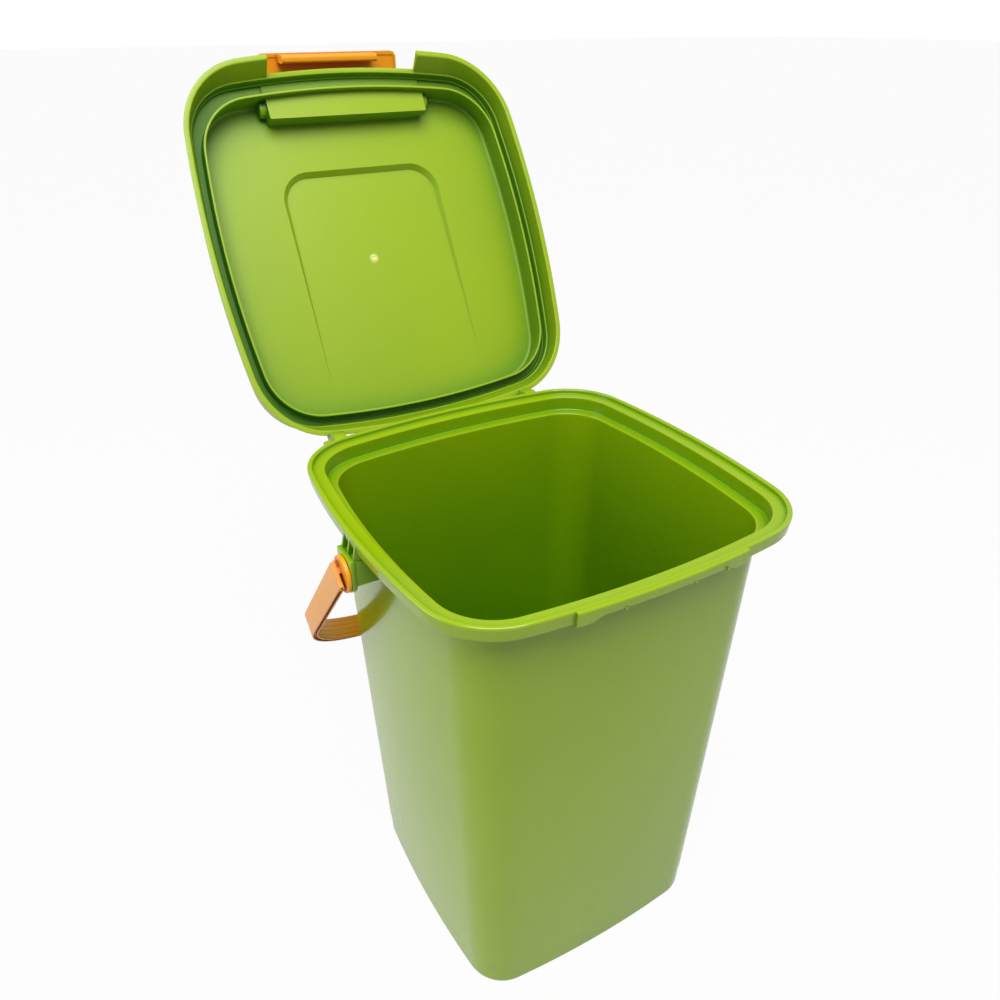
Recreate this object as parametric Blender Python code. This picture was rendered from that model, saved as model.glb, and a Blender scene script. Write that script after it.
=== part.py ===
"""Food waste caddy: a tapered square bin, a hinged lid, a swing latch and a carry handle.

Metres, +Z up. The origin is the centre of the bin's underside, the hinge is on the +Y side
and the latch is on the -Y side. The lid stands open, the latch is swung up and the handle
hangs against the back wall.
"""
import math

import bmesh
import bpy
from mathutils import Matrix, Vector

for old in list(bpy.data.objects):
    bpy.data.objects.remove(old, do_unlink=True)

# Rim of the bin, measured at its outer face
RIM_HALF = 0.1140
RIM_CORNER = 0.0420
RIM_SIDE_ARC = 0.575
RIM_TOP = 0.3072
RIM_ROUND = 0.0012
BEAD_WIDTH = 0.0032
EDGE_ROUND = 0.0005
LAND_DROP = 0.0027
LAND_INSET = 0.0102
LEDGE_DROP = 0.0118
SKIRT_HEIGHT = 0.0080
SKIRT_WALL = 0.0018

# Walls of the bin
BIN_WALL = 0.0016
NECK_INSET = 0.0147
NECK_CORNER_INSET = 0.0115
NECK_SIDE_ARC = 0.549
BASE_TAPER = 0.0138
BASE_CORNER_TAPER = 0.0058
BASE_SIDE_ARC = 0.678
FLOOR_THICK = 0.0020
FLOOR_ROUND = 0.0040
FOOT_ROUND = 0.0025
FOOT_BAND = 0.0170
FOOT_STEP = 0.0003

# Catch on the front of the rim
CATCH_HALF = 0.0510
CATCH_PROUD = 0.0018
CATCH_LOBE = 0.0090
CATCH_LIFT = 0.0059
CATCH_NOTCH_HALF = 0.0405
CATCH_NOTCH_SLOPE = 0.0045
CATCH_TOP_GAP = 0.0006
NUB_WIDTH = 0.0026
NUB_HEIGHT = 0.0008
NUB_PLACE_SHARES = (-0.62, 0.40, 0.90)

# Handle brackets on the two side walls
PIVOT_DROP = 0.0230
BRACKET_OUT = 0.0033
BRACKET_HALF = 0.0095
BRACKET_TOP_DROP = 0.0116
BRACKET_HEIGHT = 0.0156
BRACKET_DISC = 0.0107
BRACKET_DISC_THICK = 0.0040
BRACKET_RIB_THICK = 0.0014
BRACKET_RIB_SPACING = 0.0076
BRACKET_RIB_RISE = 0.0090
BRACKET_RIB_PROUD = 0.0016

# Lid in its closed place: each outline stands out from the rim, and heights are above its lip
LIP_SIDE_OUT = 0.0057
LIP_FRONT_OUT = 0.0157
LIP_BACK_OUT = 0.0079
LIP_CORNER_OUT = 0.0076
LIP_WIDTH = 0.0035
LIP_EDGE = 0.0005
LID_SIDE_ARC = 0.6175
STEP_SIDE_OUT = 0.0001
STEP_FRONT_OUT = 0.0053
STEP_BACK_OUT = 0.0001
STEP_CORNER_OUT = -0.0038
STEP_HEIGHT = 0.0113
GROOVE_SIDE_OUT = -0.0013
GROOVE_FRONT_OUT = 0.0038
GROOVE_BACK_OUT = -0.0014
GROOVE_CORNER_OUT = -0.0069
GROOVE_HEIGHT = 0.0184
RING_SIDE_OUT = -0.0054
RING_FRONT_OUT = -0.0048
RING_BACK_OUT = -0.0062
RING_CORNER_OUT = -0.0042
RING_HEIGHT = 0.0085
RING_WALL = 0.0016
PANEL_OUT = -0.0062
PANEL_CORNER_OUT = -0.0094
PANEL_HEIGHT = 0.0255
PANEL_FILLET = 0.0020
PANEL_THICK = 0.0020
LID_WALL = 0.0025
SHOULDER_ROUND = 0.0075

# Raised arch in the lid's panel, deepest at the front
ARCH_HALF = 0.0576
ARCH_FRONT = 0.0604
ARCH_BACK = 0.0880
ARCH_CORNER = 0.0205
ARCH_DEPTH = 0.0034
ARCH_DEPTH_BACK = 0.0002
ARCH_DRAFT = 0.0034

# Latch pocket in the lid's front
POCKET_HALF = 0.0540
POCKET_WALL = 0.0020
POCKET_BACK_INSET = 0.0358
POCKET_FLOOR = 0.0153
POCKET_UNDER = 0.0133
POCKET_SILL = 0.0040
POCKET_SILL_FLOOR = 0.0183
POCKET_SILL_UNDER = 0.0163
CUTOUT_HALF = 0.0524
BOSS_RADIUS = 0.0052
BOSS_REACH = 0.0044

# Latch, measured in its closed place on the closed lid
LATCH_PIVOT_INSET = 0.0287
LATCH_PIVOT_HEIGHT = 0.0215
LATCH_HALF = 0.0500
LATCH_THICK = 0.0028
LATCH_BARREL = 0.0038
LATCH_BARREL_PLAY = 0.0004
LATCH_FACE_INSET = 0.0027
LATCH_FLARE = 0.0009
LATCH_FREE_END = 0.0100
LATCH_BEND = 0.0085
LATCH_BEND_HEIGHT = 0.0148
LATCH_CORNER = 0.0040
LATCH_PIN = 0.0025
LATCH_PIN_LENGTH = 0.0047
HOOK_HALF = 0.0338
HOOK_SHIFT = -0.0030
HOOK_BITE = 0.0005
HOOK_LOW = 0.0094
HOOK_HEIGHT = 0.0050
HOOK_CHAMFER = 0.0013
LATCH_OPEN = math.radians(60.0)

# Lid hinge
HINGE_OUT = 0.0111
HINGE_DROP = 0.0147
LUG_SIDE_INSET = 0.0425
LUG_WIDTH = 0.0080
LUG_RADIUS = 0.0090
LUG_ROOT_HEIGHT = 0.0065
EAR_WIDTH = 0.0052
EAR_RADIUS = 0.0055
EAR_ROOT_DEPTH = 0.0065
EAR_FOOT_DROP = 0.0040
HINGE_PIN = 0.0025
HINGE_PIN_LENGTH = 0.0045
EAR_TURN_END = 145
LUG_TURN_START = -150
LID_OPEN = math.radians(118.08)

# Carry handle, measured hanging straight down from its pivot
HANDLE_STANDOFF = 0.0019
HANDLE_REACH = 0.1675
HANDLE_BEND = 0.0730
HANDLE_WIDTH = 0.0152
HANDLE_GROOVE = 0.0018
HANDLE_FLANGE = 0.0014
HANDLE_DEPTH = 0.0040
HANDLE_TOP = 0.0030
HUB_RADIUS = 0.0110
HUB_THICK = 0.0040
HANDLE_PIN = 0.0035
HANDLE_PIN_LENGTH = 0.0095
HANDLE_BACK_INSET = 0.003669515

# Gaps shared by the pieces
GAP = 0.0003
BORE_PLAY = 0.0003
MELD = 0.0006
OVERRUN = 0.0200
WELD = 0.00001

# Fineness of the curves
SIDE_STEPS = 6
CORNER_STEPS = 9
ROUND_STEPS = 3
CIRCLE_STEPS = 24

PARTS = bpy.data.collections.new("food_waste_caddy")
CUTTERS = bpy.data.collections.new("cutters")
bpy.context.scene.collection.children.link(PARTS)
bpy.context.scene.collection.children.link(CUTTERS)


def moulded(name, colour, roughness):
    """A plain moulded plastic."""
    material = bpy.data.materials.new(name)
    material.use_nodes = True
    shader = material.node_tree.nodes["Principled BSDF"]
    shader.inputs["Base Color"].default_value = (*colour, 1.0)
    shader.inputs["Roughness"].default_value = roughness
    shader.inputs["Metallic"].default_value = 0.0
    return material


GREEN = moulded("green_plastic", (0.33, 0.55, 0.03), 0.35)
LID_GREEN = moulded("lid_green_plastic", (0.34, 0.56, 0.04), 0.38)
ORANGE = moulded("orange_plastic", (0.90, 0.33, 0.03), 0.35)
LATCH_ORANGE = moulded("latch_orange_plastic", (0.92, 0.34, 0.03), 0.33)


def add_object(name, mesh, collection, material=None):
    """A new object for a mesh, in one of the two collections."""
    thing = bpy.data.objects.new(name, mesh)
    collection.objects.link(thing)
    if material:
        mesh.materials.append(material)
    if collection is CUTTERS:
        thing.hide_render = True
        thing.display_type = "WIRE"
    return thing


def ring(half, corner, side_arc, height, half_length=None, shift=0.0):
    """A square outline with bowed sides and round corners, at one height.

    It runs anticlockwise from the start of the +X side. half_length stretches it along Y."""
    bow = half - side_arc
    reach = side_arc - corner
    centre = (bow + math.sqrt(2 * reach ** 2 - bow ** 2)) / 2
    turn = math.atan2(centre, centre - bow)
    quarter = []
    for step in range(SIDE_STEPS):
        angle = turn * (2 * step / SIDE_STEPS - 1)
        quarter.append((bow + side_arc * math.cos(angle), side_arc * math.sin(angle)))
    for step in range(CORNER_STEPS):
        angle = turn + (math.pi / 2 - 2 * turn) * step / CORNER_STEPS
        quarter.append((centre + corner * math.cos(angle), centre + corner * math.sin(angle)))
    stretch = (half_length or half) / half
    points = []
    for side in range(4):
        for x, y in quarter:
            for _ in range(side):
                x, y = -y, x
            points.append(Vector((x, y * stretch + shift, height)))
    return points


def loft(name, rings, collection, material=None):
    """A closed solid through a stack of rings, with a flat cap on the first and the last."""
    mesh = bpy.data.meshes.new(name)
    bm = bmesh.new()
    loops = [[bm.verts.new(point) for point in points] for points in rings]
    for lower, upper in zip(loops, loops[1:]):
        for index in range(len(lower)):
            after = (index + 1) % len(lower)
            bm.faces.new((lower[index], lower[after], upper[after], upper[index]))
    bm.faces.new(loops[0])
    bm.faces.new(loops[-1])
    bmesh.ops.recalc_face_normals(bm, faces=bm.faces)
    bm.to_mesh(mesh)
    bm.free()
    return add_object(name, mesh, collection, material)


def box(name, low, high):
    """A box between two corners."""
    size = [top - bottom for bottom, top in zip(low, high)]
    middle = [(top + bottom) / 2 for bottom, top in zip(low, high)]
    mesh = bpy.data.meshes.new(name)
    bm = bmesh.new()
    bmesh.ops.create_cube(bm, size=1.0, matrix=Matrix.Translation(middle) @ Matrix.Diagonal((*size, 1.0)))
    bm.to_mesh(mesh)
    bm.free()
    return add_object(name, mesh, CUTTERS)


def rod(name, radius, start, end, centre):
    """A cylinder along X between two places, round the (y, z) centre."""
    mesh = bpy.data.meshes.new(name)
    bm = bmesh.new()
    place = Matrix.Translation(((start + end) / 2, *centre)) @ Matrix.Rotation(math.pi / 2, 4, "Y")
    bmesh.ops.create_cone(bm, cap_ends=True, segments=CIRCLE_STEPS, radius1=radius, radius2=radius,
                          depth=abs(end - start), matrix=place)
    bm.to_mesh(mesh)
    bm.free()
    return add_object(name, mesh, CUTTERS)


def arc(centre, radius, start, end, steps=CIRCLE_STEPS // 4):
    """Points on an arc between two angles in degrees."""
    angles = [math.radians(start + (end - start) * step / steps) for step in range(steps + 1)]
    return [(centre[0] + radius * math.cos(a), centre[1] + radius * math.sin(a)) for a in angles]


ALONG_X = Matrix(((0, 0, 1, 0), (1, 0, 0, 0), (0, 1, 0, 0), (0, 0, 0, 1)))
ALONG_Y = Matrix(((1, 0, 0, 0), (0, 0, -1, 0), (0, 1, 0, 0), (0, 0, 0, 1)))


def slab(name, outline, thickness, frame, place=(0.0, 0.0, 0.0)):
    """A flat outline given half its thickness each way, turned by frame and moved to place."""
    curve = bpy.data.curves.new(name, "CURVE")
    curve.dimensions = "2D"
    curve.fill_mode = "BOTH"
    curve.extrude = thickness / 2
    spline = curve.splines.new("POLY")
    spline.points.add(len(outline) - 1)
    for point, (across, up) in zip(spline.points, outline):
        point.co = (across, up, 0.0, 1.0)
    spline.use_cyclic_u = True
    drawn = bpy.data.objects.new(name + "_curve", curve)
    CUTTERS.objects.link(drawn)
    evaluated = drawn.evaluated_get(bpy.context.evaluated_depsgraph_get())
    mesh = bpy.data.meshes.new_from_object(evaluated)
    bpy.data.objects.remove(drawn, do_unlink=True)
    bm = bmesh.new()
    bm.from_mesh(mesh)
    bmesh.ops.remove_doubles(bm, verts=bm.verts, dist=WELD)
    bmesh.ops.transform(bm, verts=bm.verts, matrix=Matrix.Translation(place) @ frame)
    bmesh.ops.recalc_face_normals(bm, faces=bm.faces)
    bm.to_mesh(mesh)
    bm.free()
    return add_object(name, mesh, CUTTERS)


def combine(target, operation, tools):
    """Joins, cuts or crops the target with each tool in turn."""
    for tool in tools:
        modifier = target.modifiers.new(tool.name, "BOOLEAN")
        modifier.operation = operation
        modifier.solver = "EXACT"
        modifier.object = tool


def promote(thing, name, material):
    """Makes a part of a solid that was first drawn among the cutters."""
    CUTTERS.objects.unlink(thing)
    PARTS.objects.link(thing)
    thing.name = name
    thing.hide_render = False
    thing.display_type = "TEXTURED"
    thing.data.materials.append(material)


def hang(thing, pivot):
    """Parents a piece to the empty on its joint's axis, with all that its modifiers use."""
    thing.parent = pivot
    for modifier in thing.modifiers:
        hang(modifier.object, pivot)


# Bin body: rings up the outside, over the rim and down the inside
skirt_bottom = RIM_TOP - SKIRT_HEIGHT
land = RIM_TOP - LAND_DROP
ledge = RIM_TOP - LEDGE_DROP
neck_half = RIM_HALF - NECK_INSET
neck_corner = RIM_CORNER - NECK_CORNER_INSET


def rim_ring(inset, height):
    return ring(RIM_HALF - inset, RIM_CORNER - inset, RIM_SIDE_ARC - inset, height)


def wall_ring(inset, height):
    """The tapered wall's outline, which runs straight from the base to below the rim."""
    share = height / skirt_bottom
    half = neck_half - BASE_TAPER * (1 - share) - inset
    corner = neck_corner - BASE_CORNER_TAPER * (1 - share) - inset
    side_arc = BASE_SIDE_ARC + (NECK_SIDE_ARC - BASE_SIDE_ARC) * share - inset
    return ring(half, corner, side_arc, height)


def quarter_round(radius):
    """Pairs of the sideways and upward parts of a quarter turn, from flat to upright."""
    turns = [math.pi / 2 * step / ROUND_STEPS for step in range(ROUND_STEPS + 1)]
    return [(radius * math.sin(turn), radius * (1 - math.cos(turn))) for turn in turns]


collar_back = LAND_INSET - BIN_WALL
outside = [wall_ring(FOOT_STEP + FOOT_ROUND - out, up) for out, up in quarter_round(FOOT_ROUND)]
outside += [wall_ring(FOOT_STEP, FOOT_BAND), wall_ring(0.0, FOOT_BAND + FOOT_STEP)]
outside += [wall_ring(0.0, ledge - BIN_WALL), rim_ring(collar_back, ledge - BIN_WALL)]
outside += [rim_ring(collar_back, land - BIN_WALL), rim_ring(SKIRT_WALL, land - BIN_WALL)]
outside += [rim_ring(SKIRT_WALL, skirt_bottom), rim_ring(0.0, skirt_bottom)]
rim = [rim_ring(RIM_ROUND - out, RIM_TOP - up) for out, up in reversed(quarter_round(RIM_ROUND))]
rim += [rim_ring(BEAD_WIDTH - EDGE_ROUND, RIM_TOP), rim_ring(BEAD_WIDTH, RIM_TOP - EDGE_ROUND)]
rim += [rim_ring(BEAD_WIDTH, land), rim_ring(LAND_INSET - EDGE_ROUND, land)]
rim += [rim_ring(LAND_INSET, land - EDGE_ROUND), rim_ring(LAND_INSET, ledge)]
inside = [wall_ring(BIN_WALL - EDGE_ROUND, ledge), wall_ring(BIN_WALL, ledge - EDGE_ROUND)]
inside += [wall_ring(BIN_WALL + FLOOR_ROUND - out, FLOOR_THICK + up)
           for out, up in reversed(quarter_round(FLOOR_ROUND))]
bin_body = loft("bin_body", outside + rim + inside, PARTS, GREEN)

# Catch: the rim's front skirt stands proud and is cut up between two lobes
catch_low = RIM_TOP - CATCH_LOBE
catch_plate = loft("catch_plate", [rim_ring(-CATCH_PROUD, catch_low),
                                   rim_ring(-CATCH_PROUD, RIM_TOP - CATCH_TOP_GAP)], CUTTERS)
combine(catch_plate, "INTERSECT", [
    box("catch_limits", (-CATCH_HALF, -RIM_HALF - OVERRUN, 0.0),
        (CATCH_HALF, -RIM_HALF + SKIRT_WALL + BIN_WALL, RIM_TOP + OVERRUN))])
notch_top = RIM_TOP - CATCH_LIFT
notch_rise = notch_top - catch_low
notch_inner = CATCH_NOTCH_HALF - CATCH_NOTCH_SLOPE
notch_outline = [(-CATCH_NOTCH_HALF, catch_low - OVERRUN), (CATCH_NOTCH_HALF, catch_low - OVERRUN),
                 (CATCH_NOTCH_HALF, catch_low + notch_rise / 4),
                 (notch_inner, notch_top - notch_rise / 4), (notch_inner - notch_rise / 2, notch_top),
                 (notch_rise / 2 - notch_inner, notch_top), (-notch_inner, notch_top - notch_rise / 4),
                 (-CATCH_NOTCH_HALF, catch_low + notch_rise / 4)]
collar_gap = LAND_INSET - BIN_WALL - SKIRT_WALL
notch_back = RIM_HALF - SKIRT_WALL - collar_gap / 2
catch_notch = slab("catch_notch", notch_outline, OVERRUN, ALONG_Y, (0.0, -notch_back - OVERRUN / 2, 0.0))
nubs = [box(f"catch_nub_{number}",
            (share * CATCH_NOTCH_HALF - NUB_WIDTH / 2, -RIM_HALF, notch_top - NUB_HEIGHT),
            (share * CATCH_NOTCH_HALF + NUB_WIDTH / 2, -RIM_HALF + SKIRT_WALL, notch_top + MELD))
        for number, share in enumerate(NUB_PLACE_SHARES)]
combine(bin_body, "UNION", [catch_plate])
combine(bin_body, "DIFFERENCE", [catch_notch])
combine(bin_body, "UNION", nubs)

# Handle brackets: a block with a round face on each side wall, hung from the rim by ribs
pivot_height = RIM_TOP - PIVOT_DROP
bracket_top = RIM_TOP - BRACKET_TOP_DROP
bracket_low = bracket_top - BRACKET_HEIGHT
bracket_face = RIM_HALF + BRACKET_OUT
wall_there = neck_half - BASE_TAPER * (1 - bracket_low / skirt_bottom)
for side, tag in ((-1, "left"), (1, "right")):
    reach = sorted((side * (wall_there - BIN_WALL / 2), side * bracket_face))
    block = box(f"bracket_{tag}", (reach[0], -BRACKET_HALF, bracket_low),
                (reach[1], BRACKET_HALF, bracket_top))
    disc = rod(f"bracket_disc_{tag}", BRACKET_DISC, side * (bracket_face - BRACKET_DISC_THICK),
               side * bracket_face, (0.0, pivot_height))
    rib_foot = RIM_HALF + BRACKET_RIB_PROUD
    rib_back = RIM_HALF - SKIRT_WALL - collar_gap + MELD
    rib_outline = [(side * rib_back, bracket_top - MELD), (side * rib_foot, bracket_top - MELD),
                   (side * rib_foot, bracket_top + MELD),
                   (side * (RIM_HALF - MELD), bracket_top + BRACKET_RIB_RISE),
                   (side * (RIM_HALF - SKIRT_WALL / 2), bracket_top + BRACKET_RIB_RISE),
                   (side * rib_back, skirt_bottom + SKIRT_WALL)]
    ribs = [slab(f"bracket_rib_{tag}_{row}", rib_outline, BRACKET_RIB_THICK, ALONG_Y,
                 (0.0, row * BRACKET_RIB_SPACING, 0.0)) for row in (-1, 0, 1)]
    bore = rod(f"bracket_bore_{tag}", HANDLE_PIN + BORE_PLAY,
               side * (bracket_face - HANDLE_PIN_LENGTH - BORE_PLAY), side * (bracket_face + OVERRUN),
               (0.0, pivot_height))
    combine(bin_body, "UNION", [block, disc] + ribs)
    combine(bin_body, "DIFFERENCE", [bore])

# Hinge ears: two for each lug, rooted behind the rim's skirt
hinge_height = RIM_TOP - HINGE_DROP
hinge_back = RIM_HALF + HINGE_OUT
lug_centre = RIM_HALF - LUG_SIDE_INSET
lip_plane = land - RING_HEIGHT
ear_top = lip_plane - 2 * GAP
ear_inner = lug_centre - LUG_WIDTH / 2 - GAP
ear_outer = lug_centre + LUG_WIDTH / 2 + GAP
skirt_back = RIM_HALF - EAR_FOOT_DROP
for side, tag in ((-1, "left"), (1, "right")):
    for edge, direction in ((ear_inner, -1), (ear_outer, 1)):
        ear_outline = [(skirt_back - EAR_ROOT_DEPTH, land - BIN_WALL / 2),
                       (skirt_back - EAR_ROOT_DEPTH, hinge_height - EAR_RADIUS + MELD)]
        ear_outline += arc((hinge_back, hinge_height), EAR_RADIUS, -90, EAR_TURN_END, CIRCLE_STEPS // 2)
        ear_outline += [(skirt_back - MELD, ear_top), (skirt_back - MELD, land - BIN_WALL / 2)]
        ear = slab(f"hinge_ear_{tag}_{direction}", ear_outline, EAR_WIDTH, ALONG_X,
                   (side * (edge + direction * EAR_WIDTH / 2), 0.0, 0.0))
        combine(bin_body, "UNION", [ear])
    bore = rod(f"hinge_bore_{tag}", HINGE_PIN + BORE_PLAY, side * (ear_inner - 2 * EAR_WIDTH),
               side * (ear_outer + 2 * EAR_WIDTH), (hinge_back, hinge_height))
    combine(bin_body, "DIFFERENCE", [bore])

# Lid: an empty on the hinge axis carries it, and its heights count from the axis
lid_pivot = bpy.data.objects.new("lid_pivot", None)
PARTS.objects.link(lid_pivot)
lid_pivot.location = (0.0, hinge_back, hinge_height)
lid_pivot.rotation_euler = (-LID_OPEN, 0.0, 0.0)
lip_height = lip_plane - hinge_height
lid_front = RIM_HALF + LIP_FRONT_OUT
pocket_back = POCKET_BACK_INSET - lid_front
latch_pivot_front = lid_front - LATCH_PIVOT_INSET
latch_face = lid_front - LATCH_FACE_INSET


def lid_ring(side_out, front_out, back_out, corner_out, inset, height):
    """A ring of the lid, that far out from the rim's outline, placed from the hinge axis."""
    half_length = RIM_HALF + (front_out + back_out) / 2
    shift = (back_out - front_out) / 2
    return ring(RIM_HALF + side_out - inset, RIM_CORNER + corner_out - inset, LID_SIDE_ARC - inset,
                lip_height + height, half_length - inset, shift - hinge_back)


def lip_ring(inset, height):
    return lid_ring(LIP_SIDE_OUT, LIP_FRONT_OUT, LIP_BACK_OUT, LIP_CORNER_OUT, inset, height)


def step_ring(inset, height):
    return lid_ring(STEP_SIDE_OUT, STEP_FRONT_OUT, STEP_BACK_OUT, STEP_CORNER_OUT, inset, height)


def groove_ring(inset, height):
    return lid_ring(GROOVE_SIDE_OUT, GROOVE_FRONT_OUT, GROOVE_BACK_OUT, GROOVE_CORNER_OUT, inset, height)


def seal_ring(inset, height):
    return lid_ring(RING_SIDE_OUT, RING_FRONT_OUT, RING_BACK_OUT, RING_CORNER_OUT, inset, height)


def panel_ring(inset, height):
    return lid_ring(PANEL_OUT, PANEL_OUT, PANEL_OUT, PANEL_CORNER_OUT, inset, height)


lid_top = PANEL_HEIGHT + PANEL_THICK
shoulder = [groove_ring(SHOULDER_ROUND - LID_WALL - out, lid_top - up)
            for out, up in quarter_round(SHOULDER_ROUND)]
outer = shoulder + [step_ring(-LID_WALL, STEP_HEIGHT), lip_ring(0.0, LIP_EDGE)]
lip = [lip_ring(LIP_EDGE, 0.0), lip_ring(LIP_WIDTH - LIP_EDGE, 0.0), lip_ring(LIP_WIDTH, LIP_EDGE)]
inner = [step_ring(0.0, STEP_HEIGHT), groove_ring(0.0, GROOVE_HEIGHT)]
seal = [seal_ring(0.0, GROOVE_HEIGHT), seal_ring(0.0, RING_HEIGHT + EDGE_ROUND),
        seal_ring(EDGE_ROUND, RING_HEIGHT), seal_ring(RING_WALL - EDGE_ROUND, RING_HEIGHT),
        seal_ring(RING_WALL, RING_HEIGHT + EDGE_ROUND)]
under = [panel_ring(0.0, PANEL_HEIGHT - PANEL_FILLET), panel_ring(PANEL_FILLET, PANEL_HEIGHT)]
lid = loft("lid", outer + lip + inner + seal + under, PARTS, LID_GREEN)


def arch_ring(outset, height, follows_slope):
    """The arch's outline, grown by outset, level or on the slope that fades to the back."""
    half = ARCH_HALF + outset
    corner = ARCH_CORNER + outset
    front = -ARCH_FRONT - outset
    back = ARCH_BACK + outset
    outline = [(half, back), (-half, back)]
    outline = arc((half - corner, front + corner), corner, -90, 0) + outline
    outline += arc((corner - half, front + corner), corner, 180, 270)
    points = []
    for x, y in outline:
        fade = (ARCH_BACK - y) / (ARCH_BACK + ARCH_FRONT)
        rise = ARCH_DEPTH_BACK + (ARCH_DEPTH - ARCH_DEPTH_BACK) * max(fade, 0.0)
        points.append(Vector((x, y - hinge_back, lip_height + height + (rise if follows_slope else 0.0))))
    return points


arch_crown = loft("arch_crown", [arch_ring(PANEL_THICK, PANEL_HEIGHT + PANEL_THICK / 2, False),
                                 arch_ring(PANEL_THICK, lid_top, False),
                                 arch_ring(PANEL_THICK - ARCH_DRAFT, lid_top, True)], CUTTERS)
arch_hollow = loft("arch_hollow", [arch_ring(0.0, PANEL_HEIGHT - MELD, False),
                                   arch_ring(0.0, PANEL_HEIGHT, False),
                                   arch_ring(-ARCH_DRAFT, PANEL_HEIGHT, True)], CUTTERS)

# Latch pocket: a block under the panel, cropped to the middle of the lid's wall, then hollowed
pocket_outer = POCKET_HALF + POCKET_WALL
core_inset = LID_WALL / 2
pocket_block = loft("pocket_block", [
    groove_ring(-core_inset, POCKET_SILL_UNDER), groove_ring(-core_inset, GROOVE_HEIGHT),
    groove_ring(core_inset, lid_top - SHOULDER_ROUND / 2),
    groove_ring(SHOULDER_ROUND - core_inset, lid_top - PANEL_THICK / 2)], CUTTERS)
pocket_well = loft("pocket_well", [
    seal_ring(RING_WALL / 2, POCKET_UNDER), seal_ring(RING_WALL / 2, GROOVE_HEIGHT)], CUTTERS)
combine(pocket_block, "UNION", [pocket_well])
combine(pocket_block, "INTERSECT", [
    box("pocket_limits", (-pocket_outer, -RIM_HALF - OVERRUN - hinge_back, lip_height),
        (pocket_outer, pocket_back + POCKET_WALL - hinge_back, lip_height + lid_top + OVERRUN))])
latch_axis = (-latch_pivot_front - hinge_back, lip_height + LATCH_PIVOT_HEIGHT)
bosses = [rod(f"pocket_boss_{tag}", BOSS_RADIUS, side * (POCKET_HALF + MELD),
              side * (pocket_outer + BOSS_REACH), latch_axis)
          for side, tag in ((-1, "left"), (1, "right"))]
open_top = lip_height + lid_top + OVERRUN
open_front = -lid_front - OVERRUN - hinge_back
sill_back = -RIM_HALF - RING_FRONT_OUT + POCKET_SILL - hinge_back
hollow_back = pocket_back - hinge_back
pocket_hollow = slab("pocket_hollow", [
    (open_front, open_top), (open_front, lip_height + POCKET_SILL_FLOOR),
    (sill_back, lip_height + POCKET_SILL_FLOOR), (sill_back, lip_height + POCKET_FLOOR),
    (hollow_back, lip_height + POCKET_FLOOR), (hollow_back, open_top)], 2 * POCKET_HALF, ALONG_X)
cutout_back = -RIM_HALF - RING_FRONT_OUT - POCKET_WALL
front_cutout = box("front_cutout",
                   (-CUTOUT_HALF, open_front, lip_height - OVERRUN),
                   (CUTOUT_HALF, cutout_back - hinge_back, lip_height + STEP_HEIGHT))
pin_reach = LATCH_HALF + LATCH_BARREL + LATCH_PIN_LENGTH
latch_bore = rod("latch_bore", LATCH_PIN + BORE_PLAY, -pin_reach, pin_reach, latch_axis)
combine(lid, "UNION", [arch_crown])
combine(lid, "DIFFERENCE", [arch_hollow])
combine(lid, "UNION", [pocket_block] + bosses)
combine(lid, "DIFFERENCE", [pocket_hollow, front_cutout, latch_bore])

# Hinge lugs: a round arm on each side of the lid's back, with a stub pin out of both faces
for side, tag in ((-1, "left"), (1, "right")):
    lug_outline = arc((0.0, 0.0), LUG_RADIUS, LUG_TURN_START, 90, CIRCLE_STEPS // 2)
    wall_back = RIM_HALF + LIP_BACK_OUT - hinge_back - 2 * LIP_WIDTH
    lug_outline += [(wall_back - LIP_EDGE, lip_height + LUG_ROOT_HEIGHT), (wall_back, lip_height + LIP_EDGE)]
    lug = slab(f"hinge_lug_{tag}", lug_outline, LUG_WIDTH, ALONG_X, (side * lug_centre, 0.0, 0.0))
    pin_half = LUG_WIDTH / 2 + HINGE_PIN_LENGTH
    pin = rod(f"hinge_pin_{tag}", HINGE_PIN, side * lug_centre - pin_half,
              side * lug_centre + pin_half, (0.0, 0.0))
    combine(lid, "UNION", [lug, pin])
hang(lid, lid_pivot)

# Latch: a bent plate on a barrel, with a hook bar across the inside of its free edge
latch_pivot = bpy.data.objects.new("latch_pivot", None)
PARTS.objects.link(latch_pivot)
latch_pivot.parent = lid_pivot
latch_pivot.location = (0.0, *latch_axis)
latch_pivot.rotation_euler = (-LATCH_OPEN, 0.0, 0.0)


def from_latch_axis(front, height):
    """A place on the closed lid, seen from the latch's axis."""
    return (latch_pivot_front - front, height - LATCH_PIVOT_HEIGHT)


bend = from_latch_axis(latch_face - LATCH_BEND, LATCH_BEND_HEIGHT)
free_outer = from_latch_axis(latch_face + LATCH_FLARE, -LATCH_FREE_END)
free_inner = from_latch_axis(latch_face + LATCH_FLARE - LATCH_THICK, -LATCH_FREE_END)
latch_outline = [(0.0, LATCH_BARREL)] + arc(bend, LATCH_BEND, 90, 180) + [free_outer, free_inner]
latch_outline += arc(bend, LATCH_BEND - LATCH_THICK, 180, 90) + [(0.0, LATCH_BARREL - LATCH_THICK)]
lid_latch = slab("latch_plate", latch_outline, 2 * LATCH_HALF, ALONG_X)
barrel_half = POCKET_HALF - LATCH_BARREL_PLAY
barrel = rod("latch_barrel", LATCH_BARREL, -barrel_half, barrel_half, (0.0, 0.0))
pins = rod("latch_pins", LATCH_PIN, -pin_reach + GAP, pin_reach - GAP, (0.0, 0.0))
hook_root = from_latch_axis(latch_face - LATCH_THICK / 2, -HOOK_LOW)
hook_tip = from_latch_axis(RIM_HALF - HOOK_BITE, -HOOK_LOW)
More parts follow.
